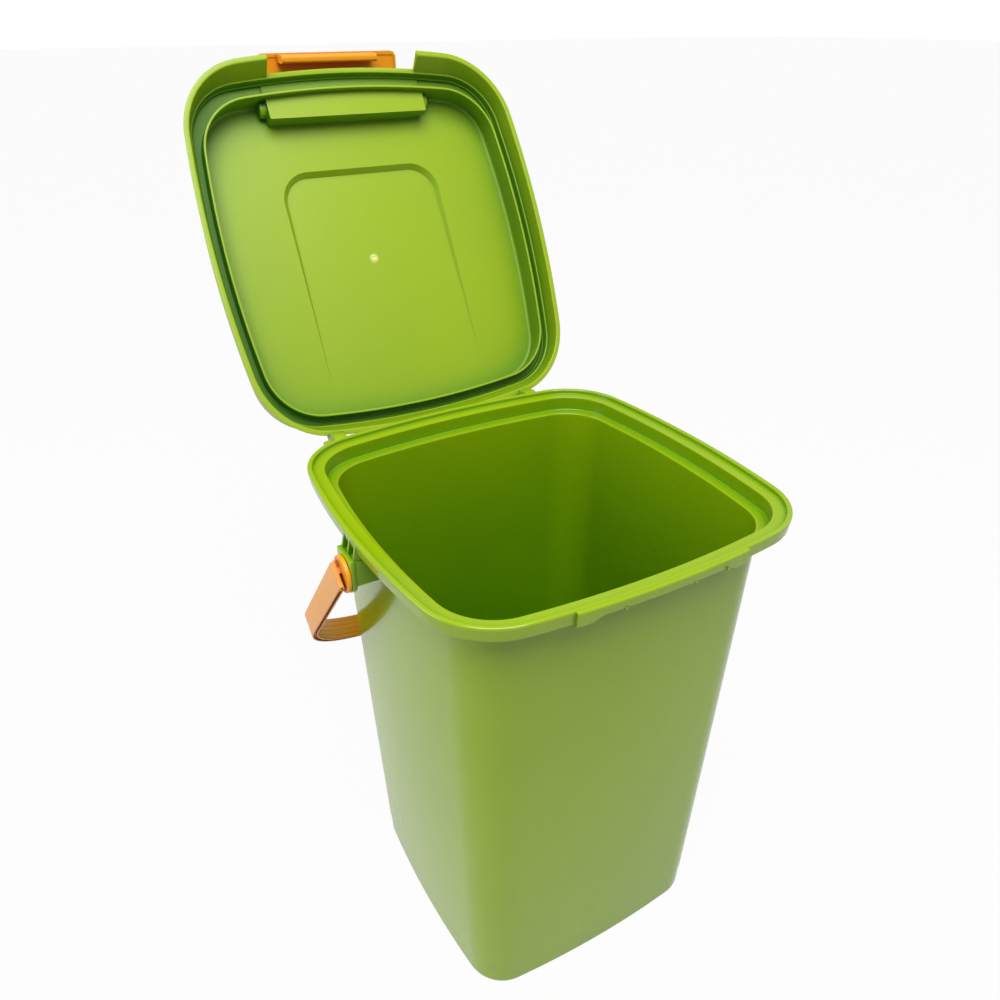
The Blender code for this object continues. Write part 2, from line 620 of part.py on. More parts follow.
hook_outline = [hook_root, (hook_tip[0] - HOOK_CHAMFER, hook_tip[1]),
                (hook_tip[0], hook_tip[1] + HOOK_CHAMFER),
                (hook_tip[0], hook_tip[1] + HOOK_HEIGHT - HOOK_CHAMFER),
                (hook_tip[0] - HOOK_CHAMFER, hook_tip[1] + HOOK_HEIGHT),
                (hook_root[0], hook_root[1] + HOOK_HEIGHT)]
hook = slab("latch_hook", hook_outline, 2 * HOOK_HALF, ALONG_X, (HOOK_SHIFT, 0.0, 0.0))
corner_height = free_outer[1] + LATCH_CORNER
trim_outline = [(LATCH_HALF, OVERRUN), (-LATCH_HALF, OVERRUN)]
trim_outline += arc((LATCH_CORNER - LATCH_HALF, corner_height), LATCH_CORNER, 180, 270)
trim_outline += arc((LATCH_HALF - LATCH_CORNER, corner_height), LATCH_CORNER, 270, 360)
latch_trim = slab("latch_trim", trim_outline, 4 * OVERRUN, ALONG_Y)
combine(lid_latch, "INTERSECT", [latch_trim])
combine(lid_latch, "UNION", [barrel, pins, hook])
promote(lid_latch, "lid_latch", LATCH_ORANGE)
hang(lid_latch, latch_pivot)

# Carry handle: a grooved strap bent to a U, with a hub and a stub pin at the end of each arm
hub_face = bracket_face + GAP
handle_outer = hub_face + HANDLE_STANDOFF + HANDLE_DEPTH


def strap_path(depth):
    """The strap's U at a depth below its outer face, in (across, up) points from top to top."""
    half = handle_outer - depth
    bend_radius = HANDLE_BEND - depth
    left = [(-half, HANDLE_TOP)]
    left += arc((bend_radius - half, depth + bend_radius - HANDLE_REACH), bend_radius, 180, 270,
                CIRCLE_STEPS // 2)
    return left + [(-across, up) for across, up in left[::-1]]


handle_pivot = bpy.data.objects.new("handle_pivot", None)
PARTS.objects.link(handle_pivot)
handle_pivot.location = (0.0, 0.0, pivot_height)
crossbar_back = RIM_HALF - HANDLE_BACK_INSET
handle_pivot.rotation_euler = (math.asin(crossbar_back / HANDLE_REACH), 0.0, 0.0)
strap_edge = HANDLE_WIDTH / 2
web_edge = strap_edge - HANDLE_GROOVE
inner_flange = HANDLE_DEPTH - HANDLE_FLANGE
section = [(0.0, strap_edge), (HANDLE_FLANGE, strap_edge), (HANDLE_FLANGE, web_edge),
           (inner_flange, web_edge), (inner_flange, strap_edge), (HANDLE_DEPTH, strap_edge)]
section += [(depth, -edge) for depth, edge in section[::-1]]
courses = [(edge, strap_path(depth)) for depth, edge in section]
stations = [[Vector((path[index][0], edge, path[index][1])) for edge, path in courses]
            for index in range(len(courses[0][1]))]
carry_handle = loft("carry_handle", stations, PARTS, ORANGE)
for side, tag in ((-1, "left"), (1, "right")):
    hub = rod(f"handle_hub_{tag}", HUB_RADIUS, side * hub_face, side * (hub_face + HUB_THICK), (0.0, 0.0))
    pin = rod(f"handle_pin_{tag}", HANDLE_PIN, side * (hub_face - HANDLE_PIN_LENGTH),
              side * (hub_face + HUB_THICK / 2), (0.0, 0.0))
    combine(carry_handle, "UNION", [hub, pin])
hang(carry_handle, handle_pivot)
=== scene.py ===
import math
import bmesh
import bpy
from mathutils import Matrix, Vector


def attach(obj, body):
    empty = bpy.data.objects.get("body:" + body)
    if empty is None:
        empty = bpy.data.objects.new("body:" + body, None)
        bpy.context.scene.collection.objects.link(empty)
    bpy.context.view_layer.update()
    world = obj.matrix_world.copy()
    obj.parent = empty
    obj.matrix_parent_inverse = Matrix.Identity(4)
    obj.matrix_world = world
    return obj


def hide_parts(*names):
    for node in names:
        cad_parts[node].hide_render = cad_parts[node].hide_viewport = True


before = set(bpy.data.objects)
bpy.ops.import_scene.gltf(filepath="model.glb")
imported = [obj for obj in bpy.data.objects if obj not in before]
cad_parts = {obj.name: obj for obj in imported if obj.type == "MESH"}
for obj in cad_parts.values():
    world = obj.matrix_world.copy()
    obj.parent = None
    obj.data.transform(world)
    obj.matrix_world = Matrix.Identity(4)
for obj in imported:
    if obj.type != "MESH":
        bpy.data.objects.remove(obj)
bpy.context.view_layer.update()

# Bin: one injection moulding in green polypropylene, a tapered square tub with bowed sides.
# Its rim has a rolled bead, a flat land for the lid's ring and a skirt that hangs outside.
RIM_HALF = 0.1140
RIM_CORNER = 0.0420
RIM_SIDE_ARC = 0.575
RIM_TOP = 0.3072
BEAD_WIDTH = 0.0032
LAND = RIM_TOP - 0.0027
LAND_INSET = 0.0102
LEDGE = RIM_TOP - 0.0118
SKIRT_BOTTOM = RIM_TOP - 0.0080
SKIRT_WALL = 0.0018
SKIRT_LEAN = 0.0010
BIN_WALL = 0.0016
NECK_HALF = RIM_HALF - 0.0147
NECK_CORNER = 0.0305
NECK_SIDE_ARC = 0.549
BASE_TAPER = 0.0138
BASE_CORNER_TAPER = 0.0058
BASE_SIDE_ARC = 0.678
FLOOR_THICK = 0.0020
FOOT_BAND = 0.0170
FOOT_STEP = 0.0003
BASE_INSET = 0.004
FLOOR_INSET = 0.008
FOOT_ROUND = 0.0025
STEP_ROUND = 0.0001
NECK_ROUND = 0.0015
COLLAR_ROUND = 0.0010
RIM_ROUND = 0.0016
BEAD_ROUND = 0.0012
FLOOR_ROUND = 0.0040
SOFT_ROUND = 0.0008
EDGE_ROUND = 0.0004
TIGHT_ROUND = 0.0003
SIDE_POINTS = 16
CORNER_POINTS = 18
ROUND_POINTS = 5
ROUND_SHARE = 0.48
LONG_WALL = 0.006
WALL_EDGE = 0.0012
WALL_STEP = 0.022
CAP_POINTS = 8
CAP_SHRINK = 0.35
CAP_CORE = 0.2


def outline(half, corner, side_arc, height, half_length=None, shift=0.0):
    """A square with bowed sides and round corners, as a ring of points at one height."""
    bow = half - side_arc
    reach = side_arc - corner
    centre = (bow + math.sqrt(2 * reach ** 2 - bow ** 2)) / 2
    turn = math.atan2(centre, centre - bow)
    quarter = []
    for step in range(SIDE_POINTS):
        angle = turn * (2 * step / SIDE_POINTS - 1)
        quarter.append((bow + side_arc * math.cos(angle), side_arc * math.sin(angle)))
    for step in range(CORNER_POINTS):
        angle = turn + (math.pi / 2 - 2 * turn) * step / CORNER_POINTS
        quarter.append((centre + corner * math.cos(angle), centre + corner * math.sin(angle)))
    stretch = (half_length or half) / half
    points = []
    for side in range(4):
        for x, y in quarter:
            for _ in range(side):
                x, y = -y, x
            points.append(Vector((x, y * stretch + shift, height)))
    return points


def moulded_rings(stations):
    """Rings through a list of (values of an outline, radius of the round there).

    A round is a curve that starts and ends its radius away from the station, and a long wall gets
    rings close to its ends, which keep its shading flat."""
    def between(one, other, share):
        return [a + (b - a) * share for a, b in zip(one, other)]

    def apart(one, other):
        return math.hypot(one[0] - other[0], one[3] - other[3])

    rings = []
    for index, (values, radius) in enumerate(stations):
        if not radius or index in (0, len(stations) - 1):
            rings.append(values)
            continue
        before, after = stations[index - 1][0], stations[index + 1][0]
        start = between(values, before, min(radius / apart(values, before), ROUND_SHARE))
        end = between(values, after, min(radius / apart(values, after), ROUND_SHARE))
        for step in range(ROUND_POINTS + 1):
            share = step / ROUND_POINTS
            rings.append(between(between(start, values, share), between(values, end, share), share))
    filled = [rings[0]]
    for ring in rings[1:]:
        last = filled[-1]
        gap = apart(last, ring)
        if gap > LONG_WALL:
            edge = WALL_EDGE / gap
            steps = max(1, int(gap / WALL_STEP))
            filled += [between(last, ring, edge + (1 - 2 * edge) * step / steps) for step in range(steps + 1)]
        filled.append(ring)
    return [outline(*ring) for ring in filled]


def loft(name, rings, place=Matrix(), plain_ends=False):
    """A closed mesh through a stack of rings, with its first and last ring capped."""
    mesh = bpy.data.meshes.new(name)
    bm = bmesh.new()
    loops = [[bm.verts.new(place @ point) for point in points] for points in rings]
    for lower, upper in zip(loops, loops[1:]):
        for index in range(len(lower)):
            after = (index + 1) % len(lower)
            bm.faces.new((lower[index], lower[after], upper[after], upper[index]))
    for cap in (loops[0], loops[-1]):
        rim = cap
        while len(cap) > CAP_POINTS and not plain_ends:
            middle = sum((vert.co for vert in cap), Vector()) / len(cap)
            inner = [bm.verts.new(vert.co.lerp(middle, CAP_SHRINK)) for vert in cap]
            for index in range(len(cap)):
                after = (index + 1) % len(cap)
                bm.faces.new((cap[index], cap[after], inner[after], inner[index]))
            cap = inner
            if (cap[0].co - middle).length < CAP_CORE * (rim[0].co - middle).length:
                break
        bm.faces.new(cap)
    bmesh.ops.recalc_face_normals(bm, faces=bm.faces)
    bm.to_mesh(mesh)
    bm.free()
    piece = bpy.data.objects.new(name, mesh)
    bpy.context.scene.collection.objects.link(piece)
    return piece


def block(name, low, high, rounding=0.0, place=Matrix()):
    """A box between two corners, with its edges rounded."""
    size = [top - bottom for bottom, top in zip(low, high)]
    middle = [(top + bottom) / 2 for bottom, top in zip(low, high)]
    mesh = bpy.data.meshes.new(name)
    bm = bmesh.new()
    bmesh.ops.create_cube(bm, size=1.0, matrix=Matrix.Translation(middle) @ Matrix.Diagonal((*size, 1.0)))
    if rounding:
        bmesh.ops.bevel(bm, geom=bm.edges[:], offset=rounding, segments=3, profile=0.5, affect="EDGES")
    bm.transform(place)
    bm.to_mesh(mesh)
    bm.free()
    piece = bpy.data.objects.new(name, mesh)
    bpy.context.scene.collection.objects.link(piece)
    return piece


def rod(name, radius, start, end, centre, rounding=0.0, place=Matrix(), sides=48):
    """A round bar along X between two places, round the (y, z) centre."""
    mesh = bpy.data.meshes.new(name)
    bm = bmesh.new()
    turn = Matrix.Translation(((start + end) / 2, *centre)) @ Matrix.Rotation(math.pi / 2, 4, "Y")
    bmesh.ops.create_cone(bm, cap_ends=True, segments=sides, radius1=radius, radius2=radius,
                          depth=abs(end - start), matrix=turn)
    if rounding:
        rims = [edge for edge in bm.edges if any(len(face.verts) > 4 for face in edge.link_faces)]
        bmesh.ops.bevel(bm, geom=rims, offset=rounding, segments=3, profile=0.5, affect="EDGES")
    bm.transform(place)
    bm.to_mesh(mesh)
    bm.free()
    piece = bpy.data.objects.new(name, mesh)
    bpy.context.scene.collection.objects.link(piece)
    return piece


ALONG_X = Matrix(((0, 0, 1, 0), (1, 0, 0, 0), (0, 1, 0, 0), (0, 0, 0, 1)))
ALONG_Y = Matrix(((1, 0, 0, 0), (0, 0, -1, 0), (0, 1, 0, 0), (0, 0, 0, 1)))


def plate(name, points, thickness, turn, place=Matrix(), rounding=0.0):
    """A flat outline made thick, half each way, turned and then placed, with rounded edges."""
    mesh = bpy.data.meshes.new(name)
    bm = bmesh.new()
    low = [bm.verts.new((across, up, -thickness / 2)) for across, up in points]
    high = [bm.verts.new((across, up, thickness / 2)) for across, up in points]
    for index in range(len(points)):
        after = (index + 1) % len(points)
        bm.faces.new((low[index], low[after], high[after], high[index]))
    caps = [bm.faces.new(low), bm.faces.new(high)]
    bmesh.ops.recalc_face_normals(bm, faces=bm.faces)
    if rounding:
        rims = {edge for face in caps for edge in face.edges}
        bmesh.ops.bevel(bm, geom=list(rims), offset=rounding, segments=2, profile=0.5, affect="EDGES")
    bm.transform(place @ turn)
    bmesh.ops.recalc_face_normals(bm, faces=bm.faces)
    bm.to_mesh(mesh)
    bm.free()
    piece = bpy.data.objects.new(name, mesh)
    bpy.context.scene.collection.objects.link(piece)
    return piece


def arc(centre, radius, start, end, steps=10):
    """Points on an arc between two angles in degrees."""
    angles = [math.radians(start + (end - start) * step / steps) for step in range(steps + 1)]
    return [(centre[0] + radius * math.cos(a), centre[1] + radius * math.sin(a)) for a in angles]


def combine(target, operation, *tools):
    """Joins, cuts or crops the target's mesh with each tool, which is used up."""
    for tool in tools:
        modifier = target.modifiers.new("combine", "BOOLEAN")
        modifier.operation = operation
        modifier.solver = "EXACT"
        modifier.object = tool
        depsgraph = bpy.context.evaluated_depsgraph_get()
        mesh = bpy.data.meshes.new_from_object(target.evaluated_get(depsgraph))
        target.modifiers.clear()
        target.data = mesh
        bpy.data.objects.remove(tool, do_unlink=True)
    return target


def rim_values(inset, height):
    """The values of the rim's outline, inset from its outer face, at a height."""
    return [RIM_HALF - inset, RIM_CORNER - inset, RIM_SIDE_ARC - inset, height]


def wall_values(inset, height):
    """The values of the tub's outline, inset from its outer face, at a height."""
    share = height / SKIRT_BOTTOM
    return [NECK_HALF - BASE_TAPER * (1 - share) - inset,
            NECK_CORNER - BASE_CORNER_TAPER * (1 - share) - inset,
            BASE_SIDE_ARC + (NECK_SIDE_ARC - BASE_SIDE_ARC) * share - inset, height]


collar = LAND_INSET - BIN_WALL
bin_body = loft("bin_moulding", moulded_rings([
    (wall_values(FOOT_STEP + BASE_INSET, 0.0), 0.0),
    (wall_values(FOOT_STEP, 0.0), FOOT_ROUND),
    (wall_values(FOOT_STEP, FOOT_BAND), STEP_ROUND),
    (wall_values(0.0, FOOT_BAND + FOOT_STEP), STEP_ROUND),
    (wall_values(0.0, LEDGE - BIN_WALL), NECK_ROUND),
    (rim_values(collar, LEDGE - BIN_WALL), EDGE_ROUND),
    (rim_values(collar, LAND - BIN_WALL), COLLAR_ROUND),
    (rim_values(SKIRT_WALL, LAND - BIN_WALL), SOFT_ROUND),
    (rim_values(SKIRT_WALL + SKIRT_LEAN / 2, SKIRT_BOTTOM), TIGHT_ROUND),
    (rim_values(SKIRT_LEAN, SKIRT_BOTTOM), EDGE_ROUND),
    (rim_values(0.0, RIM_TOP), RIM_ROUND),
    (rim_values(BEAD_WIDTH, RIM_TOP), BEAD_ROUND),
    (rim_values(BEAD_WIDTH, LAND), EDGE_ROUND),
    (rim_values(LAND_INSET, LAND), SOFT_ROUND),
    (rim_values(LAND_INSET, LEDGE), SOFT_ROUND),
    (wall_values(BIN_WALL, LEDGE), SOFT_ROUND),
    (wall_values(BIN_WALL, FLOOR_THICK), FLOOR_ROUND),
    (wall_values(BIN_WALL + FLOOR_INSET, FLOOR_THICK), 0.0)]))

# Catch: the front of the rim's skirt stands 1.8 mm proud over a length of 102 mm.
# It is cut up between two lobes so that the latch's hook bar can snap under it.
CATCH_HALF = 0.0510
CATCH_PROUD = 0.0018
CATCH_LOW = RIM_TOP - 0.0090
CATCH_LIFT = RIM_TOP - 0.0059
NOTCH_HALF = 0.0425
NOTCH_SLOPE = 0.0045
CATCH_ROOT = 0.003
CATCH_DEPTH = 0.004
CATCH_TOP = RIM_TOP - 0.0004
NOTCH_STEPS = 10
NUB_SHARES = (-0.62, 0.40, 0.90)
NUB_SPREAD = 0.0405
NUB_OUTLINE = [(-0.0010, 0.0004), (-0.0007, -0.0008), (0.0004, -0.0008), (0.0006, 0.0004)]
NUB_DEPTH = CATCH_PROUD * 0.8
NUB_FACE = -RIM_HALF - CATCH_PROUD * 0.3
OVERRUN = 0.02
catch = loft("catch", moulded_rings([
    (rim_values(CATCH_ROOT - CATCH_PROUD, CATCH_LOW), 0.0),
    (rim_values(SKIRT_LEAN - CATCH_PROUD, CATCH_LOW), TIGHT_ROUND),
    (rim_values(-CATCH_PROUD, CATCH_TOP), BEAD_ROUND),
    (rim_values(BEAD_WIDTH / 2, CATCH_TOP), 0.0)]))
combine(catch, "INTERSECT", block("catch_limits", (-CATCH_HALF, -RIM_HALF - OVERRUN, CATCH_LOW - OVERRUN / 2),
                                  (CATCH_HALF, -RIM_HALF + CATCH_DEPTH, RIM_TOP + OVERRUN / 2), SOFT_ROUND))
rise = CATCH_LIFT - CATCH_LOW
notch = [(-NOTCH_HALF, CATCH_LOW - OVERRUN), (NOTCH_HALF, CATCH_LOW - OVERRUN)]
sweep = [(NOTCH_HALF - NOTCH_SLOPE * (0.5 - 0.5 * math.cos(math.pi * step / NOTCH_STEPS)),
          CATCH_LOW + rise * step / NOTCH_STEPS) for step in range(NOTCH_STEPS + 1)]
for side in (1, -1):
    notch += [(side * across, up) for across, up in sweep[::side]]
skirt_gap = LAND_INSET - BIN_WALL - SKIRT_WALL
notch_back = -RIM_HALF + SKIRT_WALL + skirt_gap / 2
catch_notch = plate("catch_notch", notch, OVERRUN, ALONG_Y,
                    Matrix.Translation((0, notch_back - OVERRUN / 2, 0)))
combine(bin_body, "UNION", catch)
combine(bin_body, "DIFFERENCE", catch_notch)
for share in NUB_SHARES:
    place = Matrix.Translation((share * NUB_SPREAD, NUB_FACE, CATCH_LIFT))
    combine(bin_body, "UNION", plate("catch_nub", NUB_OUTLINE, NUB_DEPTH, ALONG_Y, place))

# Handle brackets: a block on each side wall whose face plate carries the handle's bore.
# Three short ribs tie the top of the block to the rim's skirt.
PIVOT_HEIGHT = RIM_TOP - 0.0230
BRACKET_FACE = RIM_HALF + 0.0033
BRACKET_HALF = 0.0095
BRACKET_TOP = RIM_TOP - 0.0116
BRACKET_LOW = BRACKET_TOP - 0.0156
BRACKET_DISC = 0.0107
FACE_THICK = 0.0026
RIB_THICK = 0.0014
RIB_SPACING = 0.0076
BLOCK_FACE = BRACKET_FACE - 0.0005
BLOCK_INSET = 0.0006
BLOCK_DROP = 0.0008
DISC_TURN = (207, 333)
RIB_ROOT = 0.0010
RIB_FOOT = BRACKET_FACE - 0.0018
RIB_LEAN = 0.0006
RIB_RISE = 0.0085
RIB_CREST = 0.0090
RIB_BACK_RISE = 0.0060
HANDLE_BORE = 0.0038
HANDLE_BORE_DEPTH = 0.0098
wall_there = NECK_HALF - BASE_TAPER * (1 - BRACKET_LOW / SKIRT_BOTTOM)
for side in (-1, 1):
    reach = sorted((side * (wall_there - BIN_WALL / 2), side * BLOCK_FACE))
    body = block("bracket_block", (reach[0], BLOCK_INSET - BRACKET_HALF, BRACKET_LOW),
                 (reach[1], BRACKET_HALF - BLOCK_INSET, BRACKET_TOP - BLOCK_DROP), TIGHT_ROUND)
    low = arc((0.0, PIVOT_HEIGHT), BRACKET_DISC, *DISC_TURN, 16)
    face = [(BRACKET_HALF, BRACKET_TOP), (-BRACKET_HALF, BRACKET_TOP)] + low
    lip = plate("bracket_face", face, FACE_THICK, ALONG_X,
                Matrix.Translation((side * (BRACKET_FACE - FACE_THICK / 2), 0, 0)), TIGHT_ROUND)
    combine(bin_body, "UNION", body, lip)
    rib_back = RIM_HALF - SKIRT_WALL - skirt_gap
    rib = [(side * rib_back, BRACKET_TOP - RIB_ROOT), (side * RIB_FOOT, BRACKET_TOP - RIB_ROOT),
           (side * (RIM_HALF - RIB_LEAN), BRACKET_TOP + RIB_RISE),
           (side * (RIM_HALF - SKIRT_WALL / 2), BRACKET_TOP + RIB_CREST),
           (side * rib_back, BRACKET_TOP + RIB_BACK_RISE)]
    for row in (-1, 0, 1):
        combine(bin_body, "UNION", plate("bracket_rib", rib, RIB_THICK, ALONG_Y,
                                         Matrix.Translation((0, row * RIB_SPACING, 0))))
    bore_end = side * (BRACKET_FACE - HANDLE_BORE_DEPTH)
    combine(bin_body, "DIFFERENCE", rod("bracket_bore", HANDLE_BORE, bore_end,
                                        side * (BRACKET_FACE + OVERRUN / 2), (0.0, PIVOT_HEIGHT)))

# Hinge ears: two round ears for each hinge lug, rooted behind the rim's back skirt.
# The lid's stub pins turn in the bores through them.
HINGE_HEIGHT = RIM_TOP - 0.0147
HINGE_BACK = RIM_HALF + 0.0111
LUG_CENTRE = RIM_HALF - 0.0425
LUG_WIDTH = 0.0080
EAR_WIDTH = 0.0052
EAR_RADIUS = 0.0055
EAR_ROOT = 0.0065
EAR_TUCK = 0.0006
EAR_TURN = (-90, 145)
HINGE_BORE = 0.0028
GAP = 0.0003
LIP_PLANE = LAND - 0.0085
skirt_back = RIM_HALF - 0.0040
for side in (-1, 1):
    for way in (-1, 1):
        edge = LUG_CENTRE + way * (LUG_WIDTH / 2 + GAP + EAR_WIDTH / 2)
        ear = [(skirt_back - EAR_ROOT, LAND - BIN_WALL / 2),
               (skirt_back - EAR_ROOT, HINGE_HEIGHT - EAR_RADIUS)]
        ear += arc((HINGE_BACK, HINGE_HEIGHT), EAR_RADIUS, *EAR_TURN, 20)
        ear += [(skirt_back - EAR_TUCK, LIP_PLANE - EAR_TUCK), (skirt_back - EAR_TUCK, LAND - BIN_WALL / 2)]
        combine(bin_body, "UNION", plate("hinge_ear", ear, EAR_WIDTH, ALONG_X,
                                         Matrix.Translation((side * edge, 0, 0)), TIGHT_ROUND))
    reach = LUG_WIDTH / 2 + EAR_WIDTH + OVERRUN / 2
    combine(bin_body, "DIFFERENCE", rod("hinge_bore", HINGE_BORE, side * LUG_CENTRE - reach,
                                        side * LUG_CENTRE + reach, (HINGE_BACK, HINGE_HEIGHT)))


# Green plastic of the bin: satin polypropylene, with a faint moulded grain, a slight cloudiness in its
# colour, and soft moulded edges.
# Its hollows and creases are painted a deeper green as painted shade, and its edges are painted lighter and
# more yellow as a painted glow of light let through them.
class Wire:
    """The output of a shader node. Arithmetic on it adds Math nodes."""

    def __init__(self, finish, socket):
        self.finish = finish
        self.socket = socket

    def math(self, operation, *values):
        return self.finish.node("ShaderNodeMath", {"operation": operation}, dict(enumerate(values)))

    def __add__(self, other):
        return self.math("ADD", self, other)

    __radd__ = __add__

    def __sub__(self, other):
        return self.math("SUBTRACT", self, other)

    def __rsub__(self, other):
        return self.math("SUBTRACT", other, self)

    def __mul__(self, other):
        return self.math("MULTIPLY", self, other)

    __rmul__ = __mul__

    def between(self, low, high):
        """Its share of the way from low to high, from 0 to 1."""
        return self.finish.node("ShaderNodeMapRange", {"clamp": True},
                                {"Value": self, "From Min": low, "From Max": high})


class Finish:
    """A material made of nodes, with the sockets of its Principled shader at hand."""

    def __init__(self, name):
        self.material = bpy.data.materials.new(name)
        self.material.use_nodes = True
        self.tree = self.material.node_tree
        self.shader = self.tree.nodes["Principled BSDF"]

    def put(self, socket, value):
        if isinstance(value, Wire):
            self.tree.links.new(value.socket, socket)
        else:
            socket.default_value = value

    def node(self, kind, settings=None, values=None, output=0):
        """A new node with its settings and the values or links of its sockets, as one output."""
        made = self.tree.nodes.new(kind)
        for key, value in (settings or {}).items():
            setattr(made, key, value)
        for key, value in (values or {}).items():
            self.put(made.inputs[key], value)
        return Wire(self, made.outputs[output])

    def mix(self, share, one, other):
        """One colour turning into the other."""
        return self.node("ShaderNodeMix", {"data_type": "RGBA"}, {0: share, 6: one, 7: other}, 2)

    def set(self, **values):
        for name, value in values.items():
            self.put(self.shader.inputs[name.replace("_", " ")], value)
        return self.material


def linear(red, green, blue, alpha=1.0):
    """A colour given as it looks on a screen, from 0 to 255, as shader values."""
    parts = [part / 255 for part in (red, green, blue)]
    return (*[((part + 0.055) / 1.055) ** 2.4 if part > 0.04045 else part / 12.92 for part in parts], alpha)


# How far the painted shade reaches in hollows and creases, how strongly creases are painted darker, and how
# far and strongly edges get a painted glow.
HOLLOW_REACH = 0.20
CREASE_REACH = 0.0030
CREASE_SHADE_SHARE = 0.65
EDGE_REACH = 0.0011
EDGE_GLOW_SHARE = 0.60
EDGE_SOFTNESS = 0.0003
CLOUD_SCALE = 9.0
CLOUD_SHARE = 0.10
SPECK_SCALE = 900.0
SPECK_SHARE = 0.05
GRAIN_HEIGHT = 0.0001
ROUGH_CLOUD = 0.05
ROUGH_SPECK = 0.04
ROUGH_HOLLOW = 0.25


def plastic(name, colour, shade_and_cloud, edge, roughness, grain, marks=()):
    """Moulded polypropylene: its colour in the open, a deeper painted shade in its hollows and creases, and a
    lighter painted glow along its edges.

    Marks are (place, radius, colour) spots, such as a gate or the sink behind a rib."""
    finish = Finish(name)
    where = finish.node("ShaderNodeTexCoord", output=3)
    cloud = finish.node("ShaderNodeTexNoise", {}, {"Vector": where, "Scale": CLOUD_SCALE, "Detail": 3.0})
    speck = finish.node("ShaderNodeTexNoise", {}, {"Vector": where, "Scale": SPECK_SCALE, "Detail": 2.0})
    # Painted shade: occlusion within reach turns the colour towards the deeper shade colour in hollows such
    # as the tub's inside; cloud and speck noise add a little random tone of the same colour.
    hollow = finish.node("ShaderNodeAmbientOcclusion", {"samples": 6, "only_local": True},
                         {"Distance": HOLLOW_REACH}, 1)
    share = (1 - hollow).between(0.08, 0.80) + cloud.between(0.35, 0.75) * CLOUD_SHARE
    share = share + speck.between(0.3, 0.7) * SPECK_SHARE
    # Painted shade in creases: a short-reach occlusion darkens the colour further at steps and joints.
    crease_shade = finish.node("ShaderNodeAmbientOcclusion", {"samples": 4, "only_local": True},
                         {"Distance": CREASE_REACH}, 1)
    crease_shade = (1 - crease_shade).between(0.12, 0.65)
    body = finish.mix(share, colour, shade_and_cloud)
    # Painted glow: edges found where the bevel normal leaves the true normal are painted lighter and more
    # yellow, for light let through the thin plastic, less so in creases.
    soft = finish.node("ShaderNodeBevel", {"samples": 4}, {"Radius": EDGE_REACH})
    flat = finish.node("ShaderNodeNewGeometry", output=3)
    bend = finish.node("ShaderNodeVectorMath", {"operation": "DOT_PRODUCT"}, {0: soft, 1: flat}, 1)
    rim = (1 - bend).between(0.03, 0.45)
    body = finish.mix(rim * (1 - crease_shade) * EDGE_GLOW_SHARE, body, edge)
    body = finish.mix(crease_shade * CREASE_SHADE_SHARE, body, shade_and_cloud)
    for place, radius, tint in marks:
        away = finish.node("ShaderNodeVectorMath", {"operation": "DISTANCE"}, {0: where, 1: place}, 1)
        body = finish.mix(1 - away.between(0.5 * radius, radius), body, tint)
    rounded = finish.node("ShaderNodeBevel", {"samples": 4}, {"Radius": EDGE_SOFTNESS})
    bump = finish.node("ShaderNodeBump", {}, {"Strength": grain, "Distance": GRAIN_HEIGHT,
                                              "Height": speck, "Normal": rounded})
    rough = cloud.between(0.3, 0.7) * ROUGH_CLOUD + speck * ROUGH_SPECK + share * ROUGH_HOLLOW
    rough = rough + (roughness - ROUGH_SPECK)
    return finish.set(Base_Color=body, Roughness=rough, Normal=bump, IOR=1.50)


BIN_GREEN = linear(152, 182, 8)
# Painted shade: the deeper green of hollows and creases, also the tone of the random cloudiness. Painted
# glow: the lighter, yellower green along edges.
BIN_SHADE_AND_CLOUD = linear(68, 132, 0)
BIN_EDGE_GLOW = linear(180, 208, 24)
BIN_ROUGHNESS = 0.10
BIN_GRAIN = 0.05
SINK_TINT = linear(160, 190, 40)
SINK_HEIGHT = RIM_TOP - 0.0290
SIDE_SINK_PLACES = (-0.006, 0.011)
SIDE_SINK_RADIUS = 0.0016
BACK_SINK_PLACE = 0.075
BACK_SINK_DROP = 0.003
BACK_SINK_RADIUS = 0.0018
inner_face = NECK_HALF - BIN_WALL
sinks = [((inner_face, along, SINK_HEIGHT), SIDE_SINK_RADIUS, SINK_TINT) for along in SIDE_SINK_PLACES]
sinks.append(((BACK_SINK_PLACE, inner_face, SINK_HEIGHT - BACK_SINK_DROP), BACK_SINK_RADIUS, SINK_TINT))
green = plastic("bin_green", BIN_GREEN, BIN_SHADE_AND_CLOUD, BIN_EDGE_GLOW, BIN_ROUGHNESS, BIN_GRAIN, sinks)
SMOOTH_ANGLE = math.radians(34)


def finish_piece(piece, material, body, node):
    """Shades a moulding, gives it its material, ties it to its body and hides the node it stands in for."""
    piece.data.materials.clear()
    piece.data.materials.append(material)
    piece.data.shade_smooth()
    piece.data.set_sharp_from_angle(angle=SMOOTH_ANGLE)
    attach(piece, body)
    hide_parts(node)


finish_piece(bin_body, green, "bin", "bin_body")

